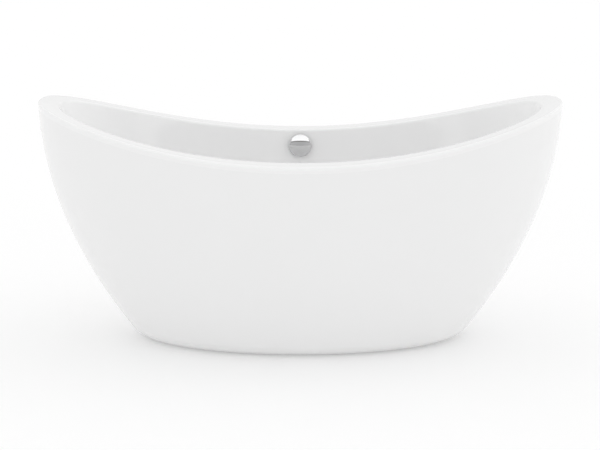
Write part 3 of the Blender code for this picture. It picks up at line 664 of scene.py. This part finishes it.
def skirt_section(angle):
    """The skirt's closed section, and where its hidden side starts in it."""
    seam = outer_rim_height(angle) - SEAM_DROP - SEAM_GAP
    base = SKIRT_CLEARANCE
    edge = 0.0008

    def corner(radius, steps):
        for k in range(steps + 1):
            turn = math.pi / 2 * k / steps
            rise = SKIRT_CORNER - radius * math.cos(turn)
            yield skirt_point(angle, base + rise, SKIRT_CORNER - radius * math.sin(turn))

    def heights(steps):
        low = base + SKIRT_CORNER
        return [low + (seam - low) * k / steps for k in range(1, steps)]

    loop = [skirt_point(angle, base + edge, FOOT_LIP_REACH)]
    loop.append(skirt_point(angle, base, FOOT_LIP_REACH - edge))
    loop += corner(radius=SKIRT_CORNER, steps=14)
    loop += [skirt_point(angle, height) for height in heights(steps=44)]
    loop.append(skirt_point(angle, seam))
    seen = len(loop)

    step = BASIN_THICKNESS + 2 * GAP
    upstand = seam + UPSTAND_HEIGHT
    stepped_in = step + SKIRT_THICKNESS
    behind = [(seam, step), (upstand, step), (upstand, stepped_in)]
    behind += [(seam - SHOULDER_DEPTH / 2, stepped_in), (seam - SHOULDER_DEPTH, SKIRT_THICKNESS)]
    loop += [skirt_point(angle, height, inset) for height, inset in behind]
    low_enough = seam - SHOULDER_DEPTH - SKIRT_THICKNESS
    inner = [height for height in heights(steps=16) if height < low_enough]
    loop += [skirt_point(angle, height, SKIRT_THICKNESS) for height in reversed(inner)]
    loop += reversed(list(corner(radius=SKIRT_CORNER - SKIRT_THICKNESS, steps=6)))
    loop.append(skirt_point(angle, base + SKIRT_THICKNESS, FOOT_LIP_REACH - edge))
    loop.append(skirt_point(angle, base + SKIRT_THICKNESS - edge, FOOT_LIP_REACH))
    return loop, seen


def make_skirt(finish):
    """The skirt, with an upstand that reaches up behind the basin's rim."""
    sections = [skirt_section(angle) for angle in even_angles(AROUND)]
    shape = closed_sweep([loop for loop, _ in sections], sections[0][1])
    # The skirt's acrylic is toned darker, a painted shade.
    looks = [finish["skirt_acrylic_painted_shade"], finish["glass_fibre"]]
    new_piece("skirt_shell", shape, looks, "outer_skirt", 40)


# --- Frame and feet


def pad_shape(top, place):
    """A round moulded foot, dished underneath, with a socket for the stud."""
    dish, side, socket_floor = 0.0006, 0.005, 0.005
    socket = STUD_RADIUS + GAP
    profile = [
        (0, dish), (PAD_RADIUS - 0.006, dish), (PAD_RADIUS - 0.0066, 0), (PAD_RADIUS - 0.0008, 0),
        (PAD_RADIUS, 0.001), (PAD_RADIUS, side), (PAD_RADIUS * 0.86, side + 0.0016),
        (PAD_RADIUS * 0.55, top), (socket, top), (socket, socket_floor), (0, socket_floor),
    ]
    return turned(softened(profile, 0.0008, closed=False), 56, place)


def stud_shape(low, collar_low, high, place):
    """A threaded stud with the hexagonal collar that a spanner turns it by."""
    edge = 0.0006
    collar_high = collar_low + COLLAR_HEIGHT
    rows = [(0, low), (STUD_RADIUS - edge, low), (STUD_RADIUS, low + edge), (STUD_RADIUS, collar_high)]
    rows += thread_rows(STUD_RADIUS, collar_high + 0.0002, high - 0.0008, STUD_PITCH, STUD_DEPTH)
    rows += [(STUD_RADIUS - STUD_DEPTH - edge, high), (0, high)]
    collar = hex_nut(COLLAR_FLATS, STUD_RADIUS * 0.7, collar_low, collar_high, UPRIGHT)
    stud = joined(turned(rows, 20), collar)
    stud.transform(place)
    return stud


def make_feet(finish):
    """Each foot: a moulded pad, a threaded stud with a hexagonal collar, and its locknut."""
    for number in range(1, FOOT_COUNT + 1):
        foot = f"foot_{number}"
        low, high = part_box(f"{foot}_pad")
        place = upright_at(low, high)
        pad = pad_shape(high.z, place)
        fitting(f"{foot}_pad", pad, finish["black_plastic"])

        stud = stud_shape(STUD_LOW, high.z + GAP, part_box(f"{foot}_stud")[1].z, place)
        fitting(f"{foot}_stud", stud, finish["zinc"])

        low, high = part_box(f"{foot}_locknut")
        nut = hex_nut(COLLAR_FLATS, STUD_RADIUS + GAP, low.z, high.z, place)
        fitting(f"{foot}_locknut", nut, finish["zinc"])


def make_board_screws(finish):
    """Pan-head screws with a cross recess, up through the crossbars into the board."""
    shank, head, head_height, pitch, depth = 0.0020, 0.0045, 0.0026, 0.0014, 0.0006
    recess, recess_foot = cross_recess(0.0009, 0.0016)
    for number in range(1, BOARD_SCREW_COUNT + 1):
        low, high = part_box(f"board_screw_{number}")
        bottom, seat = low.z, low.z + head_height
        place = upright_at(low, high)
        rows = [(0, bottom + 0.0016), (recess_foot, bottom + 0.0014), (recess, bottom + 0.0001)]
        rows += [(head * 0.66, bottom), (head * 0.86, bottom + 0.0004), (head * 0.97, bottom + 0.0011)]
        rows += [(head, bottom + 0.0018), (head, seat), (shank, seat)]
        rows += thread_rows(shank, seat + 0.001, high.z - 0.002, pitch, depth)
        rows += [(0, high.z)]
        shape = turned(rows, 32, place)
        fitting(f"board_screw_{number}", shape, finish["zinc"])


def finish_kept_nodes(finish):
    """The frame's plain pieces keep their model shape, with eased edges and a real finish."""
    kept = {"floor_board": "plywood"}
    for end in ("left", "right"):
        kept[f"frame_crossbar_{end}"] = "zinc"
    for side in ("front", "rear"):
        kept[f"frame_rail_{side}"] = "zinc"
        for end in ("left", "right"):
            kept[f"rail_end_cap_{side}_{end}"] = "black_plastic"
    for node, look in kept.items():
        piece = nodes[node]
        piece.material_slots[0].material = finish[look]
        bevel = piece.modifiers.new("eased_edges", "BEVEL")
        bevel.width = 0.0006
        bevel.segments = 2
        bevel.limit_method = "ANGLE"
        bevel.angle_limit = math.radians(60)


# --- Waste


def make_drain(finish):
    """Flange, gaskets and shoe clamped through the floor, with the tailpiece below."""
    for node, rounding in (("drain_gasket", 0.0005), ("drain_seal", 0.001)):
        low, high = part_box(node)
        ring = tube(high.x, FLANGE_TUBE_RADIUS + GAP, low.z, high.z, rounding)
        fitting(node, ring, finish["rubber"])

    low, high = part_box("drain_flange")
    rim_depth = 0.0025
    rim_low = high.z - rim_depth
    flange = softened([
        (FLANGE_TUBE_RADIUS, low.z), (FLANGE_TUBE_RADIUS, rim_low), (FLANGE_RADIUS, rim_low),
        (FLANGE_RADIUS, rim_low + 0.0012), (FLANGE_RADIUS - 0.0035, high.z),
        (FLANGE_BORE_RADIUS + rim_depth, high.z), (FLANGE_BORE_RADIUS, rim_low),
        (FLANGE_BORE_RADIUS, low.z),
    ], 0.0009, 4)
    spoke_low, spoke_high = low.z + 0.006, low.z + 0.012
    start, end, half = 0.005, FLANGE_BORE_RADIUS + 0.001, 0.002
    shape = joined(
        turned(flange, 96),
        tube(0.0075, 0.0043, spoke_low, spoke_high, 0.0005, 40),
        *two_arms(start, end, half, spoke_low, spoke_high),
        *two_arms(start, end, half, spoke_low, spoke_high, axis=1),
    )
    fitting("drain_flange", shape, finish["chrome"])

    low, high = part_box("drain_shoe")
    ledge = low.z + 0.006
    shoe = softened([
        (SHOE_RADIUS, low.z), (SHOE_RADIUS, high.z - 0.009), (SHOE_RADIUS + 0.001, high.z - 0.0055),
        (SHOE_FLANGE_RADIUS, high.z - 0.005), (SHOE_FLANGE_RADIUS, high.z), (SHOE_BORE_RADIUS, high.z),
        (SHOE_BORE_RADIUS, ledge), (TAIL_RADIUS + GAP, ledge), (TAIL_RADIUS + GAP, low.z),
    ], 0.0012)
    sideways = Matrix.Translation((0, 0, PORT_HEIGHT)) @ Matrix.Rotation(-math.pi / 2, 4, "X")
    port_start = SHOE_BORE_RADIUS + 0.001
    port = tube(HOSE_RADIUS, HOSE_BORE_RADIUS, port_start, PORT_REACH, 0.0006, 48, sideways)
    fitting("drain_shoe", joined(turned(shoe, 72), port), finish["grey_plastic"])

    low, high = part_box("tailpiece")
    bead, bead_low = TAIL_RADIUS + 0.002, high.z - 0.0037
    tail = softened([
        (TAIL_RADIUS, low.z), (TAIL_RADIUS, bead_low), (bead, bead_low), (bead, high.z),
        (TAIL_BORE_RADIUS, high.z), (TAIL_BORE_RADIUS, low.z),
    ], 0.0006)
    fitting("tailpiece", turned(tail), finish["grey_plastic"])
    low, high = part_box("tailpiece_nut")
    nut = ribbed_nut(high.x, TAIL_RADIUS + GAP, low.z, high.z, UPRIGHT, 16, 128)
    fitting("tailpiece_nut", nut, finish["grey_plastic"])


def make_plug(finish):
    """The push plug: a domed cap and its seal on a sleeve that slides on the cartridge."""
    low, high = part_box("plug_cap")
    edge = 0.0030
    dome = high.z - low.z - edge
    crown = [(0, low.z), (PLUG_RADIUS - 0.0012, low.z), (PLUG_RADIUS - 0.0004, low.z + 0.0003),
             (PLUG_RADIUS, low.z + 0.0010), (PLUG_RADIUS, low.z + edge)]
    steps = 20
    for k in range(1, steps + 1):
        turn = math.pi / 2 * k / steps
        crown.append((PLUG_RADIUS * math.cos(turn), low.z + edge + dome * math.sin(turn)))
    crown[-1] = (0, high.z)
    fitting("plug_cap", turned(crown, 96), finish["chrome"], 50)

    low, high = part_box("plug_seal")
    seal = softened([(high.x, low.z), (high.x, high.z), (0.014, high.z), (0.014, low.z)], 0.0007, 4)
    fitting("plug_seal", turned(seal), finish["rubber"])

    low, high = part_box("plug_cartridge")
    barrel_low, barrel, bore, bore_low = high.z - 0.024, 0.0085, 0.0065, high.z - 0.021
    pilot, pitch, depth, edge = 0.0039, 0.00125, 0.0006, 0.0004
    rows = [(0, low.z), (pilot - depth, low.z)]
    rows += thread_rows(pilot, low.z + edge, barrel_low - edge, pitch, depth)
    rows += [(barrel - edge, barrel_low), (barrel, barrel_low + edge), (barrel, high.z - edge)]
    rows += [(barrel - edge, high.z), (bore, high.z), (bore, bore_low), (0, bore_low)]
    fitting("plug_cartridge", turned(rows, 40), finish["brass"])

    low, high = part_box("plug_sleeve")
    outer, piston = high.x, 0.0060
    inner = outer - 0.002
    skirt_low, piston_low, roof = barrel_low + 0.004, low.z, barrel_low + 0.025
    sleeve = softened([
        (0, piston_low), (piston, piston_low), (piston, roof), (inner, roof), (inner, skirt_low),
        (outer, skirt_low), (outer, high.z), (0, high.z),
    ], 0.0004, closed=False)
    fitting("plug_sleeve", turned(sleeve, 48), finish["brass"])

    low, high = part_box("plug_spring")
    spring = spring_shape(low.z, high.z)
    fitting("plug_spring", spring, finish["spring_steel"], 60)


def spring_shape(low, high, wire=0.0005, coil=0.0050, turns=4, per_turn=36, sides=10):
    """A round-wire compression spring, with the radii of the wire and of the coil's middle."""
    shape = bmesh.new()
    up = Vector((0, 0, 1))
    count = turns * per_turn + 1
    rings = []
    for k in range(count):
        angle = math.tau * k / per_turn
        height = low + wire + (high - low - 2 * wire) * k / (count - 1)
        out = Vector((math.cos(angle), math.sin(angle), 0))
        rings.append(ring_around(shape, out * coil + up * height, out, up, wire, sides))
    skin_rings(shape, rings)
    return shape


# --- Overflow


def cap_shape(place):
    """A shallow domed cup, open towards the wall."""
    shoulder = CAP_STANDOFF + CAP_DEPTH - CAP_EDGE_RADIUS
    front = CAP_STANDOFF + CAP_DEPTH
    flat = CAP_RADIUS - CAP_EDGE_RADIUS
    edge, edge_steps, dome_steps = 0.0004, 12, 20
    outside = [(CAP_RADIUS - edge, CAP_STANDOFF), (CAP_RADIUS, CAP_STANDOFF + edge)]
    for k in range(edge_steps + 1):
        turn = math.pi / 2 * k / edge_steps
        setback = CAP_EDGE_RADIUS * (1 - math.cos(turn))
        outside.append((CAP_RADIUS - setback, shoulder + CAP_EDGE_RADIUS * math.sin(turn)))
    for k in range(1, dome_steps + 1):
        share = 1 - k / dome_steps
        outside.append((flat * share, front + CAP_DOME * (1 - share**2)))
    inside = [(flat * share, front + CAP_DOME * (1 - share**2) - CAP_WALL) for share in (0, 0.5, 0.9)]
    inside += [(CAP_RADIUS - CAP_WALL, shoulder), (CAP_RADIUS - CAP_WALL, CAP_STANDOFF)]
    return turned(inside + outside, 128, place)


def plate_shape(place):
    """A ring held by two arms to the boss that the screw goes through, with three tabs for the cap."""
    low, high = PLATE_STANDOFF + 0.0004, PLATE_TOP - 0.0004
    start, end, half = 0.0040, 0.0215, 0.005
    parts = [
        tube(0.0300, 0.0195, PLATE_STANDOFF, PLATE_TOP, 0.0006, 72),
        *two_arms(start, end, half, low, high),
        tube(0.0062, 0.0033, PLATE_STANDOFF, PLATE_TOP, 0.0004, 32),
    ]
    for k in range(3):
        tab = box((0.028, -0.004, PLATE_STANDOFF + 0.0007), (0.0332, 0.004, PLATE_TOP + 0.004))
        tab.transform(Matrix.Rotation(math.tau * k / 3 + math.pi / 6, 4, "Z"))
        parts.append(tab)
    plate = joined(*parts)
    plate.transform(place)
    return plate


def make_overflow(finish):
    """The clip-on cap in front of the wall, and the gasket, elbow, plate and screw behind it."""
    place = overflow_frame()
    fitting("overflow_cap", cap_shape(place), finish["chrome"], 50)
    fitting("overflow_plate", plate_shape(place), finish["chrome"])

    gasket_top = -BASIN_THICKNESS - 2 * GAP
    gasket_low = gasket_top - 0.003
    flange, bore = 0.034, 0.0225
    gasket = tube(flange, OVERFLOW_HOLE_RADIUS - 0.002, gasket_low, gasket_top, 0.0008, 64, place)
    fitting("overflow_gasket", gasket, finish["rubber"])

    flange_top = gasket_low - GAP
    flange_low = flange_top - 0.004
    body, body_low = 0.026, flange_low - 0.032
    floor = body_low + 0.003
    housing = softened([
        (0, body_low), (body, body_low), (body, flange_low), (flange, flange_low),
        (flange, flange_top), (bore, flange_top), (bore, floor), (0, floor),
    ], 0.0012, closed=False)
    centre = place @ Vector((0, 0, (body_low + flange_low) / 2))
    outlet = Matrix.Translation(centre) @ Matrix.Rotation(math.pi, 4, "X")
    elbow = joined(
        turned(housing, 72, place),
        tube(HOSE_RADIUS, HOSE_BORE_RADIUS, bore, OUTLET_REACH, 0.0006, 48, outlet),
        tube(0.0058, 0.0030, body_low + 0.001, flange_top, 0.0004, 32, place),
    )
    fitting("overflow_elbow", elbow, finish["grey_plastic"])

    seat = PLATE_TOP + GAP
    shank, head, pitch, depth = 0.0026, 0.0055, 0.0010, 0.0006
    recess, recess_foot = cross_recess(0.0008, 0.0019)
    rows = [(0, flange_top - 0.014)]
    rows += thread_rows(shank, flange_top - 0.013, seat - 0.0004, pitch, depth)
    rows += [(shank, seat), (head, seat), (head, seat + 0.0012), (head * 0.93, seat + 0.0020)]
    rows += [(head * 0.76, seat + 0.0027), (head * 0.60, seat + 0.0030), (recess, seat + 0.0029)]
    rows += [(recess_foot, seat + 0.0012), (0, seat + 0.0010)]
    fitting("overflow_screw", turned(rows, 32, place), finish["zinc"])
    return centre


def hose_route(start, end):
    """(y, z) points down the hollow between basin and skirt, then under the rear rail to the shoe."""
    straight = HOSE_NUT_LENGTH * 0.8
    return [
        start,
        (start[0], start[1] - straight),
        (start[0], start[1] - 2 * straight),
        (0.317, 0.360),
        (0.300, 0.260),
        (0.268, 0.160),
        (0.240, 0.110),
        (0.190, 0.077),
        (0.130, end[1] + 0.001),
        (end[0] + 2 * straight, end[1]),
        (end[0] + straight, end[1]),
        end,
    ]


def smooth_through(points, parts):
    """Points on a curve through the route's own points."""
    found = []
    for i in range(len(points) - 1):
        before = points[max(i - 1, 0)]
        here, there = points[i], points[i + 1]
        after = points[min(i + 2, len(points) - 1)]
        for k in range(parts):
            t = k / parts
            spot = []
            for axis in range(2):
                start, end = (there[axis] - before[axis]) / 2, (after[axis] - here[axis]) / 2
                spot.append(
                    (2 * t**3 - 3 * t**2 + 1) * here[axis]
                    + (t**3 - 2 * t**2 + t) * start
                    + (3 * t**2 - 2 * t**3) * there[axis]
                    + (t**3 - t**2) * end
                )
            found.append(spot)
    return found + [points[-1]]


def ribbed_hose(path, sides=24, per_rib=4):
    """A corrugated tube along (y, z) points, smooth where the nuts grip its two ends."""
    along = [0.0]
    for here, there in zip(path, path[1:]):
        along.append(along[-1] + math.dist(here, there))
    length = along[-1]
    count = round(length / HOSE_RIB_PITCH * per_rib)
    shape = bmesh.new()
    side = Vector((1, 0, 0))
    rings, k = [], 0
    for i in range(count + 1):
        wanted = length * i / count
        while k < len(along) - 2 and along[k + 1] < wanted:
            k += 1
        share = (wanted - along[k]) / (along[k + 1] - along[k])
        y = path[k][0] + (path[k + 1][0] - path[k][0]) * share
        z = path[k][1] + (path[k + 1][1] - path[k][1]) * share
        here, there = path[max(k - 1, 0)], path[min(k + 2, len(path) - 1)]
        forward = Vector((0, there[0] - here[0], there[1] - here[1])).normalized()
        from_end = min(wanted, length - wanted) - HOSE_NUT_LENGTH * 0.55
        ribbed = max(0.0, min(1.0, from_end / 0.004))
        wave = 0.5 - 0.5 * math.cos(math.tau * wanted / HOSE_RIB_PITCH)
        radius = HOSE_RADIUS - HOSE_RIB_DEPTH * ribbed * wave
        rings.append(ring_around(shape, Vector((0, y, z)), side, side.cross(forward), radius, sides))
    skin_rings(shape, rings)
    return shape


def make_hose(elbow_centre, finish):
    """The hose from the elbow to the drain shoe, with a hand nut at each end."""
    start = (elbow_centre.y, elbow_centre.z - OUTLET_REACH - GAP)
    end = (PORT_REACH + GAP, PORT_HEIGHT)
    path = smooth_through(hose_route(start, end), 8)
    fitting("overflow_hose", ribbed_hose(path), finish["grey_plastic"], 75)
    half = HOSE_NUT_LENGTH / 2
    upper = Matrix.Translation((0, start[0], start[1]))
    lower = Matrix.Translation((0, *end)) @ Matrix.Rotation(-math.pi / 2, 4, "X")
    for side, place in (("upper", upper), ("lower", lower)):
        nut = ribbed_nut(HOSE_NUT_RADIUS, HOSE_RADIUS + 2 * GAP, -half, half, place)
        fitting(f"hose_nut_{side}", nut, finish["grey_plastic"])


# --- Materials


def calculated(tree, operation, *values):
    """A Math node's output. Each value is a number or another node's output."""
    made = tree.nodes.new("ShaderNodeMath")
    made.operation = operation
    for socket, value in zip(made.inputs, values):
        if isinstance(value, float):
            socket.default_value = value
        else:
            tree.links.new(value, socket)
    return made.outputs[0]


def mapped(tree, value, bounds, low, high):
    """Runs from low to high while the value runs between the bounds, and stays level beyond them."""
    made = tree.nodes.new("ShaderNodeMapRange")
    for name, bound in zip(("From Min", "From Max", "To Min", "To Max"), (*bounds, low, high)):
        made.inputs[name].default_value = bound
    tree.links.new(value, made.inputs["Value"])
    return made.outputs["Result"]


class Finish:
    """A Principled material with helpers that vary it over the surface in object space."""

    def __init__(self, name, colour, roughness, metallic=0.0, ior=1.5):
        self.material = bpy.data.materials.new(name)
        self.material.use_nodes = True
        self.tree = self.material.node_tree
        self.shader = self.tree.nodes["Principled BSDF"]
        self.shader.inputs["Base Color"].default_value = (*colour, 1)
        self.shader.inputs["Roughness"].default_value = roughness
        self.shader.inputs["Metallic"].default_value = metallic
        self.shader.inputs["IOR"].default_value = ior
        self.place = self.node("ShaderNodeTexCoord").outputs["Object"]

    def node(self, kind, **values):
        made = self.tree.nodes.new(kind)
        for name, value in values.items():
            made.inputs[name].default_value = value
        return made

    def link(self, start, end):
        self.tree.links.new(start, end)

    def stretched(self, scale):
        mapping = self.node("ShaderNodeMapping", Scale=scale)
        self.link(self.place, mapping.inputs["Vector"])
        return mapping.outputs["Vector"]

    def noise(self, scale, detail=2.0, vector=None, roughness=0.5):
        made = self.node("ShaderNodeTexNoise", Scale=scale, Detail=detail, Roughness=roughness)
        self.link(vector or self.place, made.inputs["Vector"])
        return made.outputs["Fac"]

    def ranged(self, value, low, high, bounds=(0.3, 0.7)):
        return mapped(self.tree, value, bounds, low, high)

    def ramp(self, value, *stops):
        made = self.node("ShaderNodeValToRGB")
        elements = made.color_ramp.elements
        for element, (position, colour) in zip(elements, (stops[0], stops[-1])):
            element.position = position
            element.color = (*colour, 1)
        for position, colour in stops[1:-1]:
            elements.new(position).color = (*colour, 1)
        self.link(value, made.inputs["Fac"])
        return made.outputs["Color"]

    def roughen(self, scale, low, high, detail=3.0):
        self.link(self.ranged(self.noise(scale, detail), low, high), self.shader.inputs["Roughness"])

    def colour(self, output):
        self.link(output, self.shader.inputs["Base Color"])

    def mottle(self, scale, *stops, detail=4.0):
        self.colour(self.ramp(self.noise(scale, detail), *stops))

    def bump(self, height, distance, strength=1.0):
        made = self.node("ShaderNodeBump", Distance=distance, Strength=strength)
        self.link(height, made.inputs["Height"])
        self.link(made.outputs["Normal"], self.shader.inputs["Normal"])


def acrylic(name, shade):
    """Cast sanitary acrylic: white gloss with a faint orange peel and slight cloudiness."""
    made = Finish(name, (shade,) * 3, 0.09, ior=1.49)
    cloud = 0.004
    made.mottle(3.0, (0.30, (shade - cloud,) * 3), (0.70, (shade + cloud,) * 3))
    made.roughen(7.0, 0.075, 0.115)
    made.bump(made.noise(38.0, 2.0), 0.00012, 0.35)
    made.shader.inputs["Coat Weight"].default_value = 0.15
    made.shader.inputs["Coat Roughness"].default_value = 0.04
    return made.material


def glass_fibre():
    """The shells' hidden side: chopped glass fibre laid up in milky resin."""
    made = Finish("glass_fibre_backing", (0.62, 0.60, 0.53), 0.55)
    strands = made.node("ShaderNodeTexVoronoi", Scale=55.0)
    strands.feature = "DISTANCE_TO_EDGE"
    made.link(made.stretched((1.0, 2.6, 1.7)), strands.inputs["Vector"])
    web = made.ranged(strands.outputs["Distance"], 0.0, 1.0, (0.0, 0.12))
    made.colour(made.ramp(web, (0.0, (0.72, 0.70, 0.62)), (1.0, (0.56, 0.54, 0.47))))
    made.bump(web, 0.0006, 0.6)
    return made.material


def chrome():
    """Bright plate, polished almost to a mirror."""
    made = Finish("polished_chrome", (0.655, 0.655, 0.66), 0.04, metallic=1.0)
    made.roughen(60.0, 0.025, 0.06)
    made.bump(made.noise(240.0, 3.0), 0.00002, 0.25)
    return made.material


def zinc():
    """Bright zinc plate with a soft spangle."""
    made = Finish("zinc_plate", (0.60, 0.62, 0.65), 0.35, metallic=1.0)
    cells = made.node("ShaderNodeTexVoronoi", Scale=140.0)
    made.link(made.place, cells.inputs["Vector"])
    bright, dull = (0.64, 0.66, 0.69), (0.52, 0.54, 0.58)
    made.colour(made.ramp(cells.outputs["Distance"], (0.0, bright), (0.8, dull)))
    made.roughen(90.0, 0.24, 0.44)
    made.bump(made.noise(500.0, 2.0), 0.00004, 0.4)
    return made.material


def spring_steel():
    """Drawn steel wire."""
    made = Finish("spring_steel", (0.50, 0.51, 0.53), 0.28, metallic=1.0)
    made.roughen(400.0, 0.20, 0.36)
    made.bump(made.noise(1500.0, 2.0), 0.00002, 0.4)
    return made.material


def brass():
    """Turned brass, with fine rings round its axis."""
    made = Finish("turned_brass", (0.74, 0.56, 0.28), 0.26, metallic=1.0)
    made.mottle(120.0, (0.3, (0.70, 0.52, 0.25)), (0.7, (0.78, 0.61, 0.33)))
    rings = made.noise(1.0, 2.0, made.stretched((8.0, 8.0, 2600.0)))
    made.link(made.ranged(rings, 0.18, 0.34), made.shader.inputs["Roughness"])
    made.bump(rings, 0.00003, 0.5)
    return made.material


def rubber():
    """Dull black rubber."""
    made = Finish("black_rubber", (0.025, 0.025, 0.025), 0.72)
    made.mottle(90.0, (0.3, (0.018, 0.018, 0.018)), (0.7, (0.034, 0.034, 0.034)))
    made.roughen(160.0, 0.62, 0.84)
    made.bump(made.noise(900.0, 3.0), 0.00005, 0.6)
    return made.material


def moulded_plastic(name, colour, roughness):
    """Injection-moulded plastic with a fine spark-eroded grain."""
    made = Finish(name, colour, roughness)
    light = tuple(min(1.0, channel * 1.06) for channel in colour)
    dark = tuple(channel * 0.94 for channel in colour)
    made.mottle(45.0, (0.3, dark), (0.7, light))
    made.roughen(70.0, roughness - 0.06, roughness + 0.08)
    made.bump(made.noise(1400.0, 2.0), 0.00004, 0.55)
    return made.material


def plywood():
    """Birch plywood: fine stretched grain on the faces and thin plies on the edges."""
    made = Finish("birch_plywood", (0.66, 0.50, 0.32), 0.72)
    wander = made.noise(5.0, 3.0, made.stretched((0.5, 4.0, 4.0)))
    grain = made.noise(9.0, 6.0, made.stretched((1.2, 26.0, 26.0)), 0.65)
    blend = calculated(made.tree, "ADD", made.ranged(wander, 0.0, 0.35), made.ranged(grain, 0.0, 0.65))
    dark, middle, light = (0.50, 0.35, 0.20), (0.66, 0.50, 0.32), (0.76, 0.62, 0.43)
    face = made.ramp(blend, (0.0, dark), (0.5, middle), (1.0, light))
    apart = made.node("ShaderNodeSeparateXYZ")
    made.link(made.place, apart.inputs[0])
    plies = calculated(made.tree, "PINGPONG", apart.outputs["Z"], PLY_THICKNESS)
    layer = made.ranged(plies, 0.0, 1.0, (0.0004, 0.0009))
    layers = made.ramp(layer, (0.0, (0.42, 0.29, 0.17)), (1.0, (0.72, 0.57, 0.38)))
    facing = made.node("ShaderNodeNewGeometry")
    upright = made.node("ShaderNodeSeparateXYZ")
    made.link(facing.outputs["Normal"], upright.inputs[0])
    level = calculated(made.tree, "ABSOLUTE", upright.outputs["Z"])
    mix = made.node("ShaderNodeMix")
    mix.data_type = "RGBA"
    made.link(level, mix.inputs["Factor"])
    made.link(layers, mix.inputs["A"])
    made.link(face, mix.inputs["B"])
    made.colour(mix.outputs["Result"])
    made.roughen(30.0, 0.62, 0.82)
    made.bump(grain, 0.00015, 0.5)
    return made.material


# --- Studio


def make_camera():
    """Looks down at the tub's long side from a little over its rim."""
    camera = bpy.data.cameras.new("camera")
    camera.lens = CAMERA_LENS
    camera.sensor_width = 36.0
    camera.shift_x = CAMERA_SHIFT
    made = new_object("camera", camera)
    made.location = CAMERA_PLACE
    made.rotation_euler = (math.pi / 2 - CAMERA_TILT, 0, 0)
    bpy.context.scene.camera = made


def make_floor():
    """A pale floor lit partly from below, which keeps the tub's shadow light."""
    shape = bmesh.new()
    bmesh.ops.create_grid(shape, x_segments=1, y_segments=1, size=STUDIO_HALF_SIDE)
    pale = Finish("studio_floor", (FLOOR_SHADE,) * 3, 0.9)
    pale.shader.inputs["Specular IOR Level"].default_value = 0.1
    pale.shader.inputs["Emission Color"].default_value = (1, 1, 1, 1)
    pale.shader.inputs["Emission Strength"].default_value = FLOOR_GLOW
    floor = new_object("studio_floor", new_mesh("studio_floor", shape))
    floor.data.materials.append(pale.material)


def make_world():
    """A white room of light: its brightness in a direction blends the walls and the ceiling there.

    The front wall is dim up to a dark line that bends down to both sides. A broad softbox is above it.
    """
    world = bpy.data.worlds.new("studio")
    bpy.context.scene.world = world
    world.use_nodes = True
    tree = world.node_tree
    background = tree.nodes["Background"]
    background.inputs["Color"].default_value = (1, 1, 1, 1)
    place = tree.nodes.new("ShaderNodeTexCoord")
    apart = tree.nodes.new("ShaderNodeSeparateXYZ")
    tree.links.new(place.outputs["Generated"], apart.inputs[0])
    x, y, z = apart.outputs

    def product(*values):
        return functools.reduce(lambda a, b: calculated(tree, "MULTIPLY", a, b), values)

    def total(*values):
        return functools.reduce(lambda a, b: calculated(tree, "ADD", a, b), values)

    forward = product(y, -1.0)
    sideways = calculated(tree, "DIVIDE", x, forward)
    bend = product(sideways, sideways, LINE_BEND)
    slope = total(calculated(tree, "DIVIDE", z, forward), bend)
    front = total(
        mapped(tree, slope, LINE_START, FRONT_LOW_LIGHT, LINE_LIGHT),
        mapped(tree, slope, SOFTBOX_START, 0.0, SOFTBOX_LIGHT - LINE_LIGHT),
        mapped(tree, slope, SOFTBOX_END, 0.0, FRONT_HIGH_LIGHT - SOFTBOX_LIGHT),
    )
    ahead = calculated(tree, "LESS_THAN", y, 0.0)
    behind = product(calculated(tree, "SUBTRACT", 1.0, ahead), BACK_LIGHT)
    walls = product(y, y, total(product(ahead, front), behind))
    side = mapped(tree, calculated(tree, "GREATER_THAN", x, 0.0), (0, 1), LEFT_LIGHT, RIGHT_LIGHT)
    strength = total(walls, product(x, x, side), product(z, z, CEILING_LIGHT))
    tree.links.new(strength, background.inputs["Strength"])


def main():
    bpy.context.scene.view_settings.view_transform = "Standard"
    make_camera()
    make_floor()
    make_world()
    finish = {
        # One acrylic in two tones: painted light on the basin and painted shade on the skirt.
        "basin_acrylic_painted_light": acrylic("basin_acrylic_painted_light", BASIN_TONE_WITH_PAINTED_LIGHT),
        "skirt_acrylic_painted_shade": acrylic("skirt_acrylic_painted_shade", SKIRT_TONE_WITH_PAINTED_SHADE),
        "glass_fibre": glass_fibre(),
        "chrome": chrome(),
        "zinc": zinc(),
        "spring_steel": spring_steel(),
        "brass": brass(),
        "rubber": rubber(),
        "grey_plastic": moulded_plastic("grey_pipe_plastic", (0.55, 0.56, 0.57), 0.42),
        "black_plastic": moulded_plastic("black_foot_plastic", (0.035, 0.035, 0.037), 0.48),
        "plywood": plywood(),
    }
    make_basin(finish)
    make_skirt(finish)
    finish_kept_nodes(finish)
    make_feet(finish)
    make_board_screws(finish)
    make_drain(finish)
    make_plug(finish)
    elbow_centre = make_overflow(finish)
    make_hose(elbow_centre, finish)


main()
